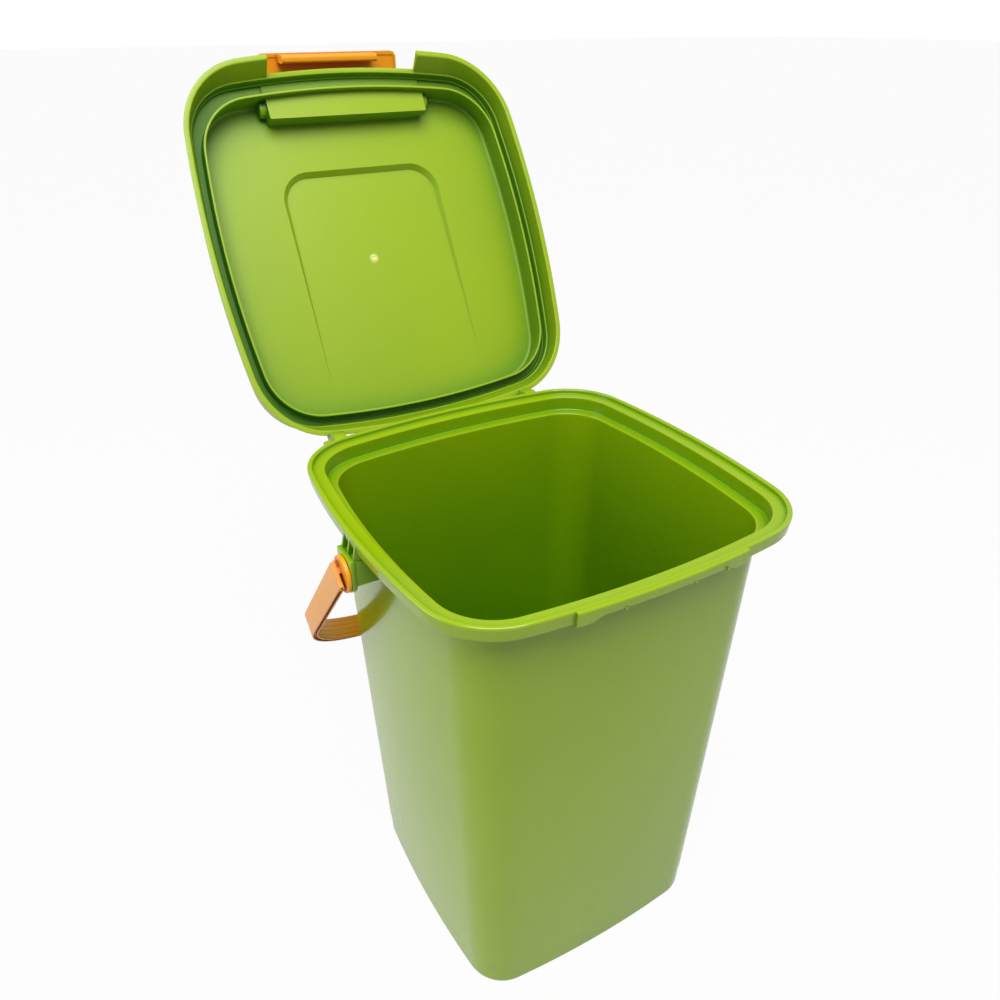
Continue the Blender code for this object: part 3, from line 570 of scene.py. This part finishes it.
# Lid: one green moulding, drawn shut with heights above its lip, then turned open on its hinge.
# A lip and stepped wall cover the rim, and a thin ring round the panel presses on the land.
LID_OPEN = math.radians(118.08)
LID_SIDE_ARC = 0.6175
LIP_WIDTH = 0.0035
STEP_HEIGHT = 0.0113
GROOVE_HEIGHT = 0.0184
RING_HEIGHT = 0.0085
RING_WALL = 0.0016
PANEL_HEIGHT = 0.0255
PANEL_THICK = 0.0020
LID_WALL = 0.0025
SHOULDER_ROUND = 0.0075
LID_TOP = PANEL_HEIGHT + PANEL_THICK
LIP_FRONT = 0.0157
LIP_BACK = 0.0079
SEAL_FRONT = 0.0048
CROWN_INSET = 0.016
STEP_ROUND_OUT = 0.0020
LIP_ROUND = 0.0007
LINE_WIDTH = 0.0004
LINE_RISE = 0.0002
GROOVE_LINE = 0.0022
GROOVE_PROUD = 0.0003
RING_ROUND = 0.0006
PANEL_ROUND = 0.0022
PANEL_INSET = 0.010
hinge = Vector((0, HINGE_BACK, HINGE_HEIGHT))
lid_place = (Matrix.Translation(hinge) @ Matrix.Rotation(-LID_OPEN, 4, "X")
             @ Matrix.Translation(Vector((0, 0, LIP_PLANE)) - hinge))


def lid_values(side_out, front_out, back_out, corner_out):
    """One outline of the lid, by how far it stands out from the rim's, for any inset and height."""
    def values(inset, height):
        half_length = RIM_HALF + (front_out + back_out) / 2
        return [RIM_HALF + side_out - inset, RIM_CORNER + corner_out - inset, LID_SIDE_ARC - inset,
                height, half_length - inset, (back_out - front_out) / 2]
    return values


lip = lid_values(side_out=0.0057, front_out=LIP_FRONT, back_out=LIP_BACK, corner_out=0.0076)
step = lid_values(side_out=0.0001, front_out=0.0053, back_out=0.0001, corner_out=-0.0038)
groove = lid_values(side_out=-0.0013, front_out=0.0038, back_out=-0.0014, corner_out=-0.0069)
seal = lid_values(side_out=-0.0054, front_out=-SEAL_FRONT, back_out=-0.0062, corner_out=-0.0042)
panel = lid_values(side_out=-0.0062, front_out=-0.0062, back_out=-0.0062, corner_out=-0.0094)
lid = loft("lid_moulding", moulded_rings([
    (groove(CROWN_INSET, LID_TOP), 0.0),
    (groove(-LID_WALL, LID_TOP), SHOULDER_ROUND),
    (step(-LID_WALL, STEP_HEIGHT), STEP_ROUND_OUT),
    (lip(0.0, 0.0), LIP_ROUND),
    (lip(LIP_WIDTH, 0.0), LIP_ROUND),
    (step(-LINE_WIDTH, STEP_HEIGHT - LINE_RISE), TIGHT_ROUND),
    (step(LINE_WIDTH, STEP_HEIGHT + LINE_RISE), TIGHT_ROUND),
    (groove(-GROOVE_PROUD, GROOVE_HEIGHT - GROOVE_LINE - LINE_WIDTH), TIGHT_ROUND),
    (groove(LINE_WIDTH, GROOVE_HEIGHT - GROOVE_LINE), TIGHT_ROUND),
    (groove(RING_ROUND, GROOVE_HEIGHT), EDGE_ROUND),
    (seal(0.0, GROOVE_HEIGHT), RING_ROUND),
    (seal(0.0, RING_HEIGHT), RING_ROUND),
    (seal(RING_WALL, RING_HEIGHT), RING_ROUND),
    (panel(0.0, PANEL_HEIGHT), PANEL_ROUND),
    (panel(PANEL_INSET, PANEL_HEIGHT), 0.0)]), lid_place)

# Arch: a shallow raised field in the middle of the lid, deepest at the front, fading out to the back.
# It is moulded in one with the panel, hollow below and standing up above.
ARCH_HALF = 0.0576
ARCH_FRONT = 0.0604
ARCH_BACK = 0.0880
ARCH_CORNER = 0.0205
ARCH_DEPTH = 0.0034
ARCH_RUN_OUT = 0.0060
ARCH_ROOT = 0.0010
ARCH_STEPS = 20
THIN = 0.00005


def arch_rings(outset, level, root):
    """The arch as a wedge on a level, rooted that far below it, with sides drafted as far as it rises."""
    rings = ([], [], [])
    half, corner, front = ARCH_HALF + outset, ARCH_CORNER + outset, -ARCH_FRONT - outset
    back = ARCH_BACK + ARCH_RUN_OUT
    angles = [math.radians(-90 + 90 * step / ARCH_STEPS) for step in range(ARCH_STEPS + 1)]
    turns = [(math.cos(angle), math.sin(angle)) for angle in angles]
    edge = [(half - corner + corner * c, front + corner + corner * d, c, d) for c, d in turns]
    edge += [(half, back, 1.0, 0.0), (-half, back, -1.0, 0.0)]
    edge += [(corner - half - corner * c, front + corner + corner * d, -c, d) for c, d in turns[::-1]]
    for x, y, across, along in edge:
        rise = ARCH_DEPTH * (ARCH_BACK - y) / (ARCH_BACK + ARCH_FRONT)
        draft = max(rise, THIN)
        rings[0].append(Vector((x, y, level - root)))
        rings[1].append(Vector((x, y, level + min(rise, 0.0) - THIN)))
        rings[2].append(Vector((x - draft * across, y - draft * along, level + rise)))
    return rings


crown = loft("arch_crown", arch_rings(PANEL_THICK, LID_TOP, PANEL_THICK / 2), lid_place)
hollow = loft("arch_hollow", arch_rings(0.0, PANEL_HEIGHT, ARCH_ROOT), lid_place)
combine(lid, "UNION", crown)
combine(lid, "DIFFERENCE", hollow)

# Latch pocket: a trough let into the lid's front for the latch, with a boss for a pin at each end.
# The wall below it is cut away over its length, so that the hook bar reaches the catch.
POCKET_HALF = 0.0540
POCKET_WALL = 0.0020
POCKET_BACK = -RIM_HALF - LIP_FRONT + 0.0358
POCKET_FLOOR = 0.0153
POCKET_UNDER = 0.0133
POCKET_SILL = 0.0040
SILL_FLOOR = 0.0183
SILL_UNDER = 0.0173
CUTOUT_HALF = 0.0524
BOSS_RADIUS = 0.0052
BOSS_REACH = 0.0044
BOSS_START = 0.0006
BOSS_ROUND = 0.0010
POCKET_ROUND = 0.0012
TROUGH_ROUND = 0.0006
CUTOUT_WALL = 0.0020
LATCH_PIVOT_Y = -RIM_HALF - LIP_FRONT + 0.0287
LATCH_PIVOT_HEIGHT = 0.0215
LATCH_BORE = 0.0028
LATCH_BORE_HALF = 0.0590
FAR_FRONT = -0.16
LIMITS_LOW = -0.01
LIMITS_HIGH = 0.05
TROUGH_HIGH = 0.06
TROUGH_LOW_HIGH = 0.03
pocket_outer = POCKET_HALF + POCKET_WALL
core = LID_WALL / 2
pocket = loft("pocket_block", moulded_rings([
    (groove(OVERRUN, SILL_UNDER), 0.0), (groove(-core, SILL_UNDER), 0.0),
    (groove(-core, GROOVE_HEIGHT), 0.0), (groove(core, LID_TOP - SHOULDER_ROUND / 2), 0.0),
    (groove(SHOULDER_ROUND - core, LID_TOP - PANEL_THICK / 2), 0.0),
    (groove(OVERRUN, LID_TOP - PANEL_THICK / 2), 0.0)]), lid_place)
well = loft("pocket_well", moulded_rings([
    (seal(OVERRUN, POCKET_UNDER), 0.0), (seal(RING_WALL / 2, POCKET_UNDER), 0.0),
    (seal(RING_WALL / 2, GROOVE_HEIGHT), 0.0), (seal(OVERRUN, GROOVE_HEIGHT), 0.0)]), lid_place)
combine(pocket, "UNION", well)
combine(pocket, "INTERSECT", block("pocket_limits", (-pocket_outer, FAR_FRONT, LIMITS_LOW),
                                   (pocket_outer, POCKET_BACK + POCKET_WALL, LIMITS_HIGH), POCKET_ROUND,
                                   lid_place))
boss_place = lid_place @ Matrix.Translation((0, LATCH_PIVOT_Y, LATCH_PIVOT_HEIGHT))
combine(lid, "UNION", pocket)
for side in (-1, 1):
    combine(lid, "UNION", rod("pocket_boss", BOSS_RADIUS, side * (POCKET_HALF + BOSS_START),
                              side * (pocket_outer + BOSS_REACH), (0, 0), BOSS_ROUND, boss_place))
seal_back = -RIM_HALF + SEAL_FRONT
trough = block("pocket_trough", (-POCKET_HALF, FAR_FRONT, SILL_FLOOR),
               (POCKET_HALF, POCKET_BACK, TROUGH_HIGH), SOFT_ROUND, lid_place)
trough_low = block("pocket_trough_low", (-POCKET_HALF, seal_back + POCKET_SILL, POCKET_FLOOR),
                   (POCKET_HALF, POCKET_BACK, TROUGH_LOW_HIGH), TROUGH_ROUND, lid_place)
cutout = block("front_cutout", (-CUTOUT_HALF, FAR_FRONT, -OVERRUN),
               (CUTOUT_HALF, seal_back - CUTOUT_WALL, STEP_HEIGHT), EDGE_ROUND, lid_place)
bore = rod("latch_bore", LATCH_BORE, -LATCH_BORE_HALF, LATCH_BORE_HALF, (0, 0), 0.0, boss_place)
combine(lid, "DIFFERENCE", trough, trough_low, cutout, bore)

# Gate mark: a low ring in the middle of the arch, left where the molten plastic was let in.
# It is part of the lid's moulding, and its broken stub is a little paler.
GATE_PLACE = (-0.0043, 0.0018, PANEL_HEIGHT + 0.0021)
GATE_PROFILE = ((0.0022, -0.0015), (0.0022, 0.0), (0.0018, 0.00045), (0.0013, 0.00045), (0.0008, 0.0001))
GATE_SIDES = 32
GATE_SPOT = 0.0036
GATE_SPOT_DEPTH = 0.0006
gate = lid_place @ Matrix.Translation(GATE_PLACE)
turns = [math.tau * step / GATE_SIDES for step in range(GATE_SIDES)]
combine(lid, "UNION", loft("gate_ring", [
    [Vector((radius * math.cos(turn), radius * math.sin(turn), -rise)) for turn in turns]
    for radius, rise in GATE_PROFILE], gate))

# Hinge lugs: a round arm on each side of the lid's back, with a stub pin out of both faces.
# The pins snap into the bin's ears.
LUG_RADIUS = 0.0090
HINGE_PIN = 0.0025
PIN_LENGTH = 0.0045
PIN_ROUND = 0.0003
PIN_SIDES = 32
LUG_TURN = (-150, 90)
LUG_ROOT_HEIGHT = 0.0065
LUG_FOOT = 0.0005
lug_place = Matrix.Translation(hinge) @ Matrix.Rotation(-LID_OPEN, 4, "X")
lip_height = LIP_PLANE - HINGE_HEIGHT
for side in (-1, 1):
    wall_back = RIM_HALF + LIP_BACK - HINGE_BACK - 2 * LIP_WIDTH
    lug = arc((0.0, 0.0), LUG_RADIUS, *LUG_TURN, 24)
    lug += [(wall_back - LUG_FOOT, lip_height + LUG_ROOT_HEIGHT), (wall_back, lip_height + LUG_FOOT)]
    here = lug_place @ Matrix.Translation((side * LUG_CENTRE, 0, 0))
    combine(lid, "UNION", plate("hinge_lug", lug, LUG_WIDTH, ALONG_X, here, EDGE_ROUND))
    half = LUG_WIDTH / 2 + PIN_LENGTH
    combine(lid, "UNION", rod("hinge_pin", HINGE_PIN, side * LUG_CENTRE - half, side * LUG_CENTRE + half,
                              (0, 0), PIN_ROUND, lug_place, PIN_SIDES))

LID_GREEN = linear(156, 184, 12)
# Painted shade: the deeper green of hollows and creases, also the tone of the random cloudiness. Painted
# glow: the lighter, yellower green along edges.
LID_SHADE_AND_CLOUD = linear(62, 124, 0)
LID_EDGE_GLOW = linear(186, 210, 30)
GATE_TINT = linear(232, 232, 140)
LID_ROUGHNESS = 0.34
LID_GRAIN = 0.08
gate_mark = (tuple(gate @ Vector((0.0, 0.0, -GATE_SPOT_DEPTH))), GATE_SPOT, GATE_TINT)
lid_green = plastic("lid_green", LID_GREEN, LID_SHADE_AND_CLOUD, LID_EDGE_GLOW, LID_ROUGHNESS, LID_GRAIN, [gate_mark])
finish_piece(lid, lid_green, "lid", "lid")

# Latch: one orange moulding, a bent plate on a barrel whose stub pins snap into the pocket's bosses.
# A bar along its inner face hooks under the catch. Inside a narrow border the face is let in.
LATCH_OPEN = math.radians(60.0)
LATCH_HALF = 0.0500
LATCH_THICK = 0.0028
LATCH_BARREL = 0.0038
LATCH_SET_BACK = 0.0027
LATCH_FACE = RIM_HALF + LIP_FRONT - LATCH_SET_BACK + LATCH_PIVOT_Y
LATCH_FLARE = 0.0009
LATCH_FREE_END = -0.0100 - LATCH_PIVOT_HEIGHT
LATCH_BEND = 0.0085
LATCH_BEND_HEIGHT = 0.0148 - LATCH_PIVOT_HEIGHT
LATCH_CORNER = 0.0040
LATCH_SPARE = 0.004
LATCH_PLAY = 0.0004
LATCH_STEPS = 16
LATCH_PIN = 0.0025
LATCH_PIN_HALF = 0.0585
LATCH_BARREL_ROUND = 0.0005
LATCH_BORDER = 0.0024
LATCH_SIDE_BORDER = 0.0013
LATCH_LET_IN = 0.0004
LATCH_LET_IN_TOP = 0.0235
HOOK_HALF = 0.0338
HOOK_SHIFT = -0.0030
HOOK_REACH = 0.0005
HOOK_TIP = RIM_HALF - HOOK_REACH + LATCH_PIVOT_Y
HOOK_LOW = -0.0094 - LATCH_PIVOT_HEIGHT
HOOK_HEIGHT = 0.0050
HOOK_ROUND = 0.0018
HOOK_TURN = 80
latch_place = boss_place @ Matrix.Rotation(-LATCH_OPEN, 4, "X")
bend = (LATCH_BEND - LATCH_FACE, LATCH_BEND_HEIGHT)
side_view = [(0.0, LATCH_BARREL)] + arc(bend, LATCH_BEND, 90, 180, LATCH_STEPS)
side_view += [(-LATCH_FACE - LATCH_FLARE, LATCH_FREE_END),
              (LATCH_THICK - LATCH_FACE - LATCH_FLARE, LATCH_FREE_END)]
side_view += arc(bend, LATCH_BEND - LATCH_THICK, 180, 90, LATCH_STEPS) + [(0.0, LATCH_BARREL - LATCH_THICK)]
latch = plate("latch_moulding", side_view, 2 * LATCH_HALF + LATCH_SPARE, ALONG_X, latch_place)


def latch_front(half, low, corner, high):
    """The latch's outline seen from the front, with its two free corners rounded."""
    outline_points = [(half, high), (-half, high)]
    outline_points += arc((corner - half, low + corner), corner, 180, 270)
    return outline_points + arc((half - corner, low + corner), corner, 270, 360)


latch_outline = latch_front(LATCH_HALF, LATCH_FREE_END, LATCH_CORNER, OVERRUN)
combine(latch, "INTERSECT", plate("latch_trim", latch_outline, 4 * OVERRUN, ALONG_Y, latch_place))
flare = math.atan2(LATCH_FLARE, LATCH_BEND_HEIGHT - LATCH_FREE_END)
face_place = latch_place @ Matrix.Translation((0, LATCH_THICK - LATCH_FACE - LATCH_FLARE, LATCH_FREE_END))
face_place = face_place @ Matrix.Rotation(-flare, 4, "X")
inner_outline = latch_front(LATCH_HALF - LATCH_SIDE_BORDER, LATCH_BORDER, LATCH_CORNER / 2, LATCH_LET_IN_TOP)
combine(latch, "DIFFERENCE", plate("latch_let_in", inner_outline, 2 * LATCH_LET_IN, ALONG_Y, face_place))
barrel_half = POCKET_HALF - LATCH_PLAY
root = LATCH_THICK / 2 - LATCH_FACE
hook_back = -HOOK_TIP - HOOK_ROUND
hook_high = HOOK_LOW + HOOK_HEIGHT
hook = [(root, HOOK_LOW), (hook_back, HOOK_LOW)]
hook += arc((hook_back, HOOK_LOW + HOOK_ROUND), HOOK_ROUND, -HOOK_TURN, 0, 6)
hook += arc((hook_back, hook_high - HOOK_ROUND), HOOK_ROUND, 0, HOOK_TURN, 6)
hook += [(hook_back, hook_high), (root, hook_high)]
combine(latch, "UNION",
        rod("latch_barrel", LATCH_BARREL, -barrel_half, barrel_half, (0, 0), LATCH_BARREL_ROUND, latch_place),
        rod("latch_pins", LATCH_PIN, -LATCH_PIN_HALF, LATCH_PIN_HALF, (0, 0), EDGE_ROUND, latch_place,
            PIN_SIDES),
        plate("latch_hook", hook, 2 * HOOK_HALF, ALONG_X,
              latch_place @ Matrix.Translation((HOOK_SHIFT, 0, 0))))
LATCH_ORANGE = linear(252, 168, 22)
# Painted shade: the deeper orange of hollows and creases, also the tone of the random cloudiness. Painted
# glow: the lighter orange along edges.
LATCH_SHADE_AND_CLOUD = linear(196, 88, 2)
LATCH_EDGE_GLOW = linear(255, 196, 60)
LATCH_ROUGHNESS = 0.30
LATCH_GRAIN = 0.06
latch_orange = plastic("latch_orange", LATCH_ORANGE, LATCH_SHADE_AND_CLOUD, LATCH_EDGE_GLOW, LATCH_ROUGHNESS, LATCH_GRAIN)
finish_piece(latch, latch_orange, "latch", "lid_latch")

# Carry handle: one orange moulding, a strap of I section bent to a U, finely ribbed inside.
# Each end is a round disc that turns against its bracket, tied to the strap, with a stub pin.
HUB_FACE = BRACKET_FACE + GAP
HANDLE_STANDOFF = 0.0020
HANDLE_DEPTH = 0.0038
HANDLE_OUTER = HUB_FACE + HANDLE_STANDOFF + HANDLE_DEPTH
HANDLE_REACH = 0.1674
HANDLE_BEND = 0.0730
HANDLE_WIDTH = 0.0147
HANDLE_GROOVE = 0.0018
HANDLE_FLANGE = 0.0009
HANDLE_TOP = 0.0016
STATION_GAP = 0.0010
STRAP_RIBS = (0.0048, 0.0016, -0.0016, -0.0048)
STRAP_RIB_HALF = 0.0004
STRAP_RIB_DEPTH = 0.0002
STRAP_ROUND = 0.0003
CORNER_SHARE = 0.45
HUB_RADIUS = 0.0103
HUB_THICK = 0.0021
HUB_ROUND = 0.0005
HUB_SIDES = 64
HUB_CORE = 0.0080
CORE_START = 0.0010
CORE_OVERLAP = 0.0005
ARM_END = 0.0023
ARM_SKIN = 0.0003
ARM_INSET = 0.0002
ARM_LOW = -0.0061
TOP_GAP = 0.0003
TOP_GAP_REACH = 0.0010
NOTCH_LOW = -0.0030
NOTCH_HIGH = 0.0004
BRIDGE = (0.0002, 0.0036)
HANDLE_PIN = 0.0035
HANDLE_PIN_LENGTH = 0.0095
HANDLE_SWING = math.radians(41.2)
handle_place = Matrix.Translation((0, 0, PIVOT_HEIGHT)) @ Matrix.Rotation(HANDLE_SWING, 4, "X")


def strap_path(depth):
    """The U of the strap at a depth below its outer face, from the top of one arm to the other."""
    half = HANDLE_OUTER - depth
    low = depth - HANDLE_REACH
    radius = HANDLE_BEND - depth
    arm = [HANDLE_TOP, HANDLE_TOP - STATION_GAP, -HANDLE_REACH / 2, HANDLE_BEND - HANDLE_REACH + STATION_GAP]
    left = [(-half, height) for height in arm] + arc((radius - half, low + radius), radius, 180, 270, 20)
    left += [(-half + HANDLE_BEND + STATION_GAP, low)]
    return left + [(0.0, low)] + [(-across, height) for across, height in left[::-1]]


def softened(points, radius, steps=3):
    """A closed outline with each of its corners turned into a small curve."""
    curve = []
    for index, corner in enumerate(points):
        ends = []
        for other in (points[index - 1], points[(index + 1) % len(points)]):
            share = min(radius / math.dist(corner, other), CORNER_SHARE)
            ends.append([a + (b - a) * share for a, b in zip(corner, other)])
        for step in range(steps + 1):
            t = step / steps
            curve.append(tuple((1 - t) ** 2 * a + 2 * t * (1 - t) * c + t * t * b
                               for a, c, b in zip(ends[0], corner, ends[1])))
    return curve


half = HANDLE_WIDTH / 2
web = half - HANDLE_GROOVE
flange, inner = HANDLE_FLANGE, HANDLE_DEPTH - HANDLE_FLANGE
section = [(0.0, -half), (0.0, half), (flange, half), (flange, web), (inner, web), (inner, half),
           (HANDLE_DEPTH, half)]
for rib in STRAP_RIBS:
    section += [(HANDLE_DEPTH, rib + STRAP_RIB_HALF), (HANDLE_DEPTH - STRAP_RIB_DEPTH, rib),
                (HANDLE_DEPTH, rib - STRAP_RIB_HALF)]
section += [(HANDLE_DEPTH, -half), (inner, -half), (inner, -web), (flange, -web), (flange, -half)]
section = softened(section, STRAP_ROUND)
courses = [(across, strap_path(depth)) for depth, across in section]
stations = [[Vector((path[index][0], across, path[index][1])) for across, path in courses]
            for index in range(len(courses[0][1]))]
handle = loft("handle_moulding", stations, handle_place, True)
for side in (-1, 1):
    arm_end = HANDLE_OUTER - ARM_END
    hub_back = HUB_FACE + HUB_THICK
    arm = sorted((side * arm_end, side * (HANDLE_OUTER - ARM_SKIN)))
    combine(handle, "UNION",
            block("handle_arm_end", (arm[0], ARM_INSET - half, ARM_LOW),
                  (arm[1], half - ARM_INSET, HANDLE_TOP + ARM_INSET), 0.0, handle_place),
            rod("handle_core", HUB_CORE, side * (HUB_FACE + CORE_START), side * (arm_end + CORE_OVERLAP),
                (0, 0), 0.0, handle_place),
            rod("handle_hub", HUB_RADIUS, side * HUB_FACE, side * hub_back, (0, 0), HUB_ROUND,
                handle_place, HUB_SIDES),
            rod("handle_pin", HANDLE_PIN, side * (HUB_FACE - HANDLE_PIN_LENGTH),
                side * (HUB_FACE + HUB_THICK / 2), (0, 0), EDGE_ROUND, handle_place, PIN_SIDES))
    top = sorted((side * hub_back, side * (arm_end + TOP_GAP_REACH)))
    gap = sorted((side * hub_back, side * arm_end))
    combine(handle, "DIFFERENCE",
            block("handle_top_gap", (top[0], -OVERRUN, HANDLE_TOP + TOP_GAP), (top[1], OVERRUN, OVERRUN),
                  0.0, handle_place),
            block("handle_low_notch", (gap[0], -OVERRUN, NOTCH_LOW), (gap[1], BRIDGE[0], OVERRUN),
                  0.0, handle_place),
            block("handle_high_notch", (gap[0], BRIDGE[1], NOTCH_HIGH), (gap[1], OVERRUN, OVERRUN),
                  0.0, handle_place))
HANDLE_ORANGE = linear(250, 166, 16)
# Painted shade: the deeper orange of hollows and creases, also the tone of the random cloudiness. Painted
# glow: the lighter orange along edges.
HANDLE_SHADE_AND_CLOUD = linear(180, 76, 2)
HANDLE_EDGE_GLOW = linear(252, 174, 44)
HANDLE_ROUGHNESS = 0.30
HANDLE_GRAIN = 0.08
handle_orange = plastic("handle_orange", HANDLE_ORANGE, HANDLE_SHADE_AND_CLOUD, HANDLE_EDGE_GLOW, HANDLE_ROUGHNESS,
                        HANDLE_GRAIN)
finish_piece(handle, handle_orange, "handle", "carry_handle")

# Studio: a plain white floor and surround, lit by a large soft lamp above and two weaker ones at
# the sides. The camera's place, angles and lens give the photograph's view of the rim and base.
CAMERA_PLACE = Vector((-0.22973, -0.35399, 0.53437))
CAMERA_AZIMUTH = math.radians(-30.0557)
CAMERA_ELEVATION = math.radians(29.7231)
CAMERA_ROLL = math.radians(-0.2127)
CAMERA_LENS = 30.591
CAMERA_SENSOR = 36.0
FLOOR_HALF = 20.0
FLOOR_SEEN = 0.96
FLOOR_MIRRORED = 0.65
SKY_MIRRORED = 0.40
SKY_LIGHT = 0.14
WHITE = (1.0, 1.0, 1.0, 1.0)
back = Vector((math.sin(CAMERA_AZIMUTH) * math.cos(CAMERA_ELEVATION),
               -math.cos(CAMERA_AZIMUTH) * math.cos(CAMERA_ELEVATION), math.sin(CAMERA_ELEVATION)))
level = Vector((math.cos(CAMERA_AZIMUTH), math.sin(CAMERA_AZIMUTH), 0.0))
upright = back.cross(level)
right = math.cos(CAMERA_ROLL) * level + math.sin(CAMERA_ROLL) * upright
up = math.cos(CAMERA_ROLL) * upright - math.sin(CAMERA_ROLL) * level
camera = bpy.data.objects.new("camera", bpy.data.cameras.new("camera"))
bpy.context.scene.collection.objects.link(camera)
camera.data.lens = CAMERA_LENS
camera.data.sensor_width = CAMERA_SENSOR
camera.data.clip_start = 0.01
camera.matrix_world = Matrix((right, up, back)).transposed().to_4x4()
camera.location = CAMERA_PLACE
bpy.context.scene.camera = camera

floor = bpy.data.objects.new("floor", bpy.data.meshes.new("floor"))
bpy.context.scene.collection.objects.link(floor)
bm = bmesh.new()
bmesh.ops.create_grid(bm, x_segments=1, y_segments=1, size=FLOOR_HALF)
bm.to_mesh(floor.data)
bm.free()
paper = Finish("floor_paper")
seen = paper.tree.nodes.new("ShaderNodeLightPath").outputs
white_share = (Wire(paper, seen["Is Camera Ray"]) * FLOOR_SEEN
               + Wire(paper, seen["Is Glossy Ray"]) * FLOOR_MIRRORED)
paper.set(Base_Color=(0.6, 0.6, 0.6, 1.0), Roughness=0.9)
shaded = Wire(paper, paper.shader.outputs[0])
glow = paper.node("ShaderNodeEmission", {}, {"Color": WHITE, "Strength": 1.0})
blend = paper.node("ShaderNodeMixShader", {}, {0: white_share, 1: shaded, 2: glow})
paper.put(paper.tree.nodes["Material Output"].inputs["Surface"], blend)
floor.data.materials.append(paper.material)

world = bpy.data.worlds.new("surround")
bpy.context.scene.world = world
world.use_nodes = True
sky = world.node_tree
seen = sky.nodes.new("ShaderNodeLightPath").outputs
white_share = sky.nodes.new("ShaderNodeMath")
white_share.operation = "MULTIPLY_ADD"
sky.links.new(seen["Is Glossy Ray"], white_share.inputs[0])
white_share.inputs[1].default_value = SKY_MIRRORED
sky.links.new(seen["Is Camera Ray"], white_share.inputs[2])
strength = sky.nodes.new("ShaderNodeMapRange")
sky.links.new(white_share.outputs[0], strength.inputs["Value"])
strength.inputs["To Min"].default_value = SKY_LIGHT
strength.inputs["To Max"].default_value = 1.0
sky.links.new(strength.outputs[0], sky.nodes["Background"].inputs["Strength"])
sky.nodes["Background"].inputs["Color"].default_value = WHITE


def lamp(name, place, target, size, power):
    """A square soft lamp at a place, turned to face a target."""
    data = bpy.data.lights.new(name, "AREA")
    data.size = size
    data.energy = power
    thing = bpy.data.objects.new(name, data)
    thing.location = place
    thing.rotation_euler = (Vector(target) - Vector(place)).to_track_quat("-Z", "Y").to_euler()
    bpy.context.scene.collection.objects.link(thing)


MIDDLE = (0.0, 0.02, 0.25)
lamp("key_lamp", (-0.26, -0.54, 1.68), MIDDLE, 1.2, 30.0)
lamp("side_lamp", (-1.3, 0.5, 0.7), MIDDLE, 0.9, 7.5)
lamp("fill_lamp", (1.2, -0.3, 0.9), MIDDLE, 0.8, 2.0)

bpy.context.scene.view_settings.view_transform = "Standard"
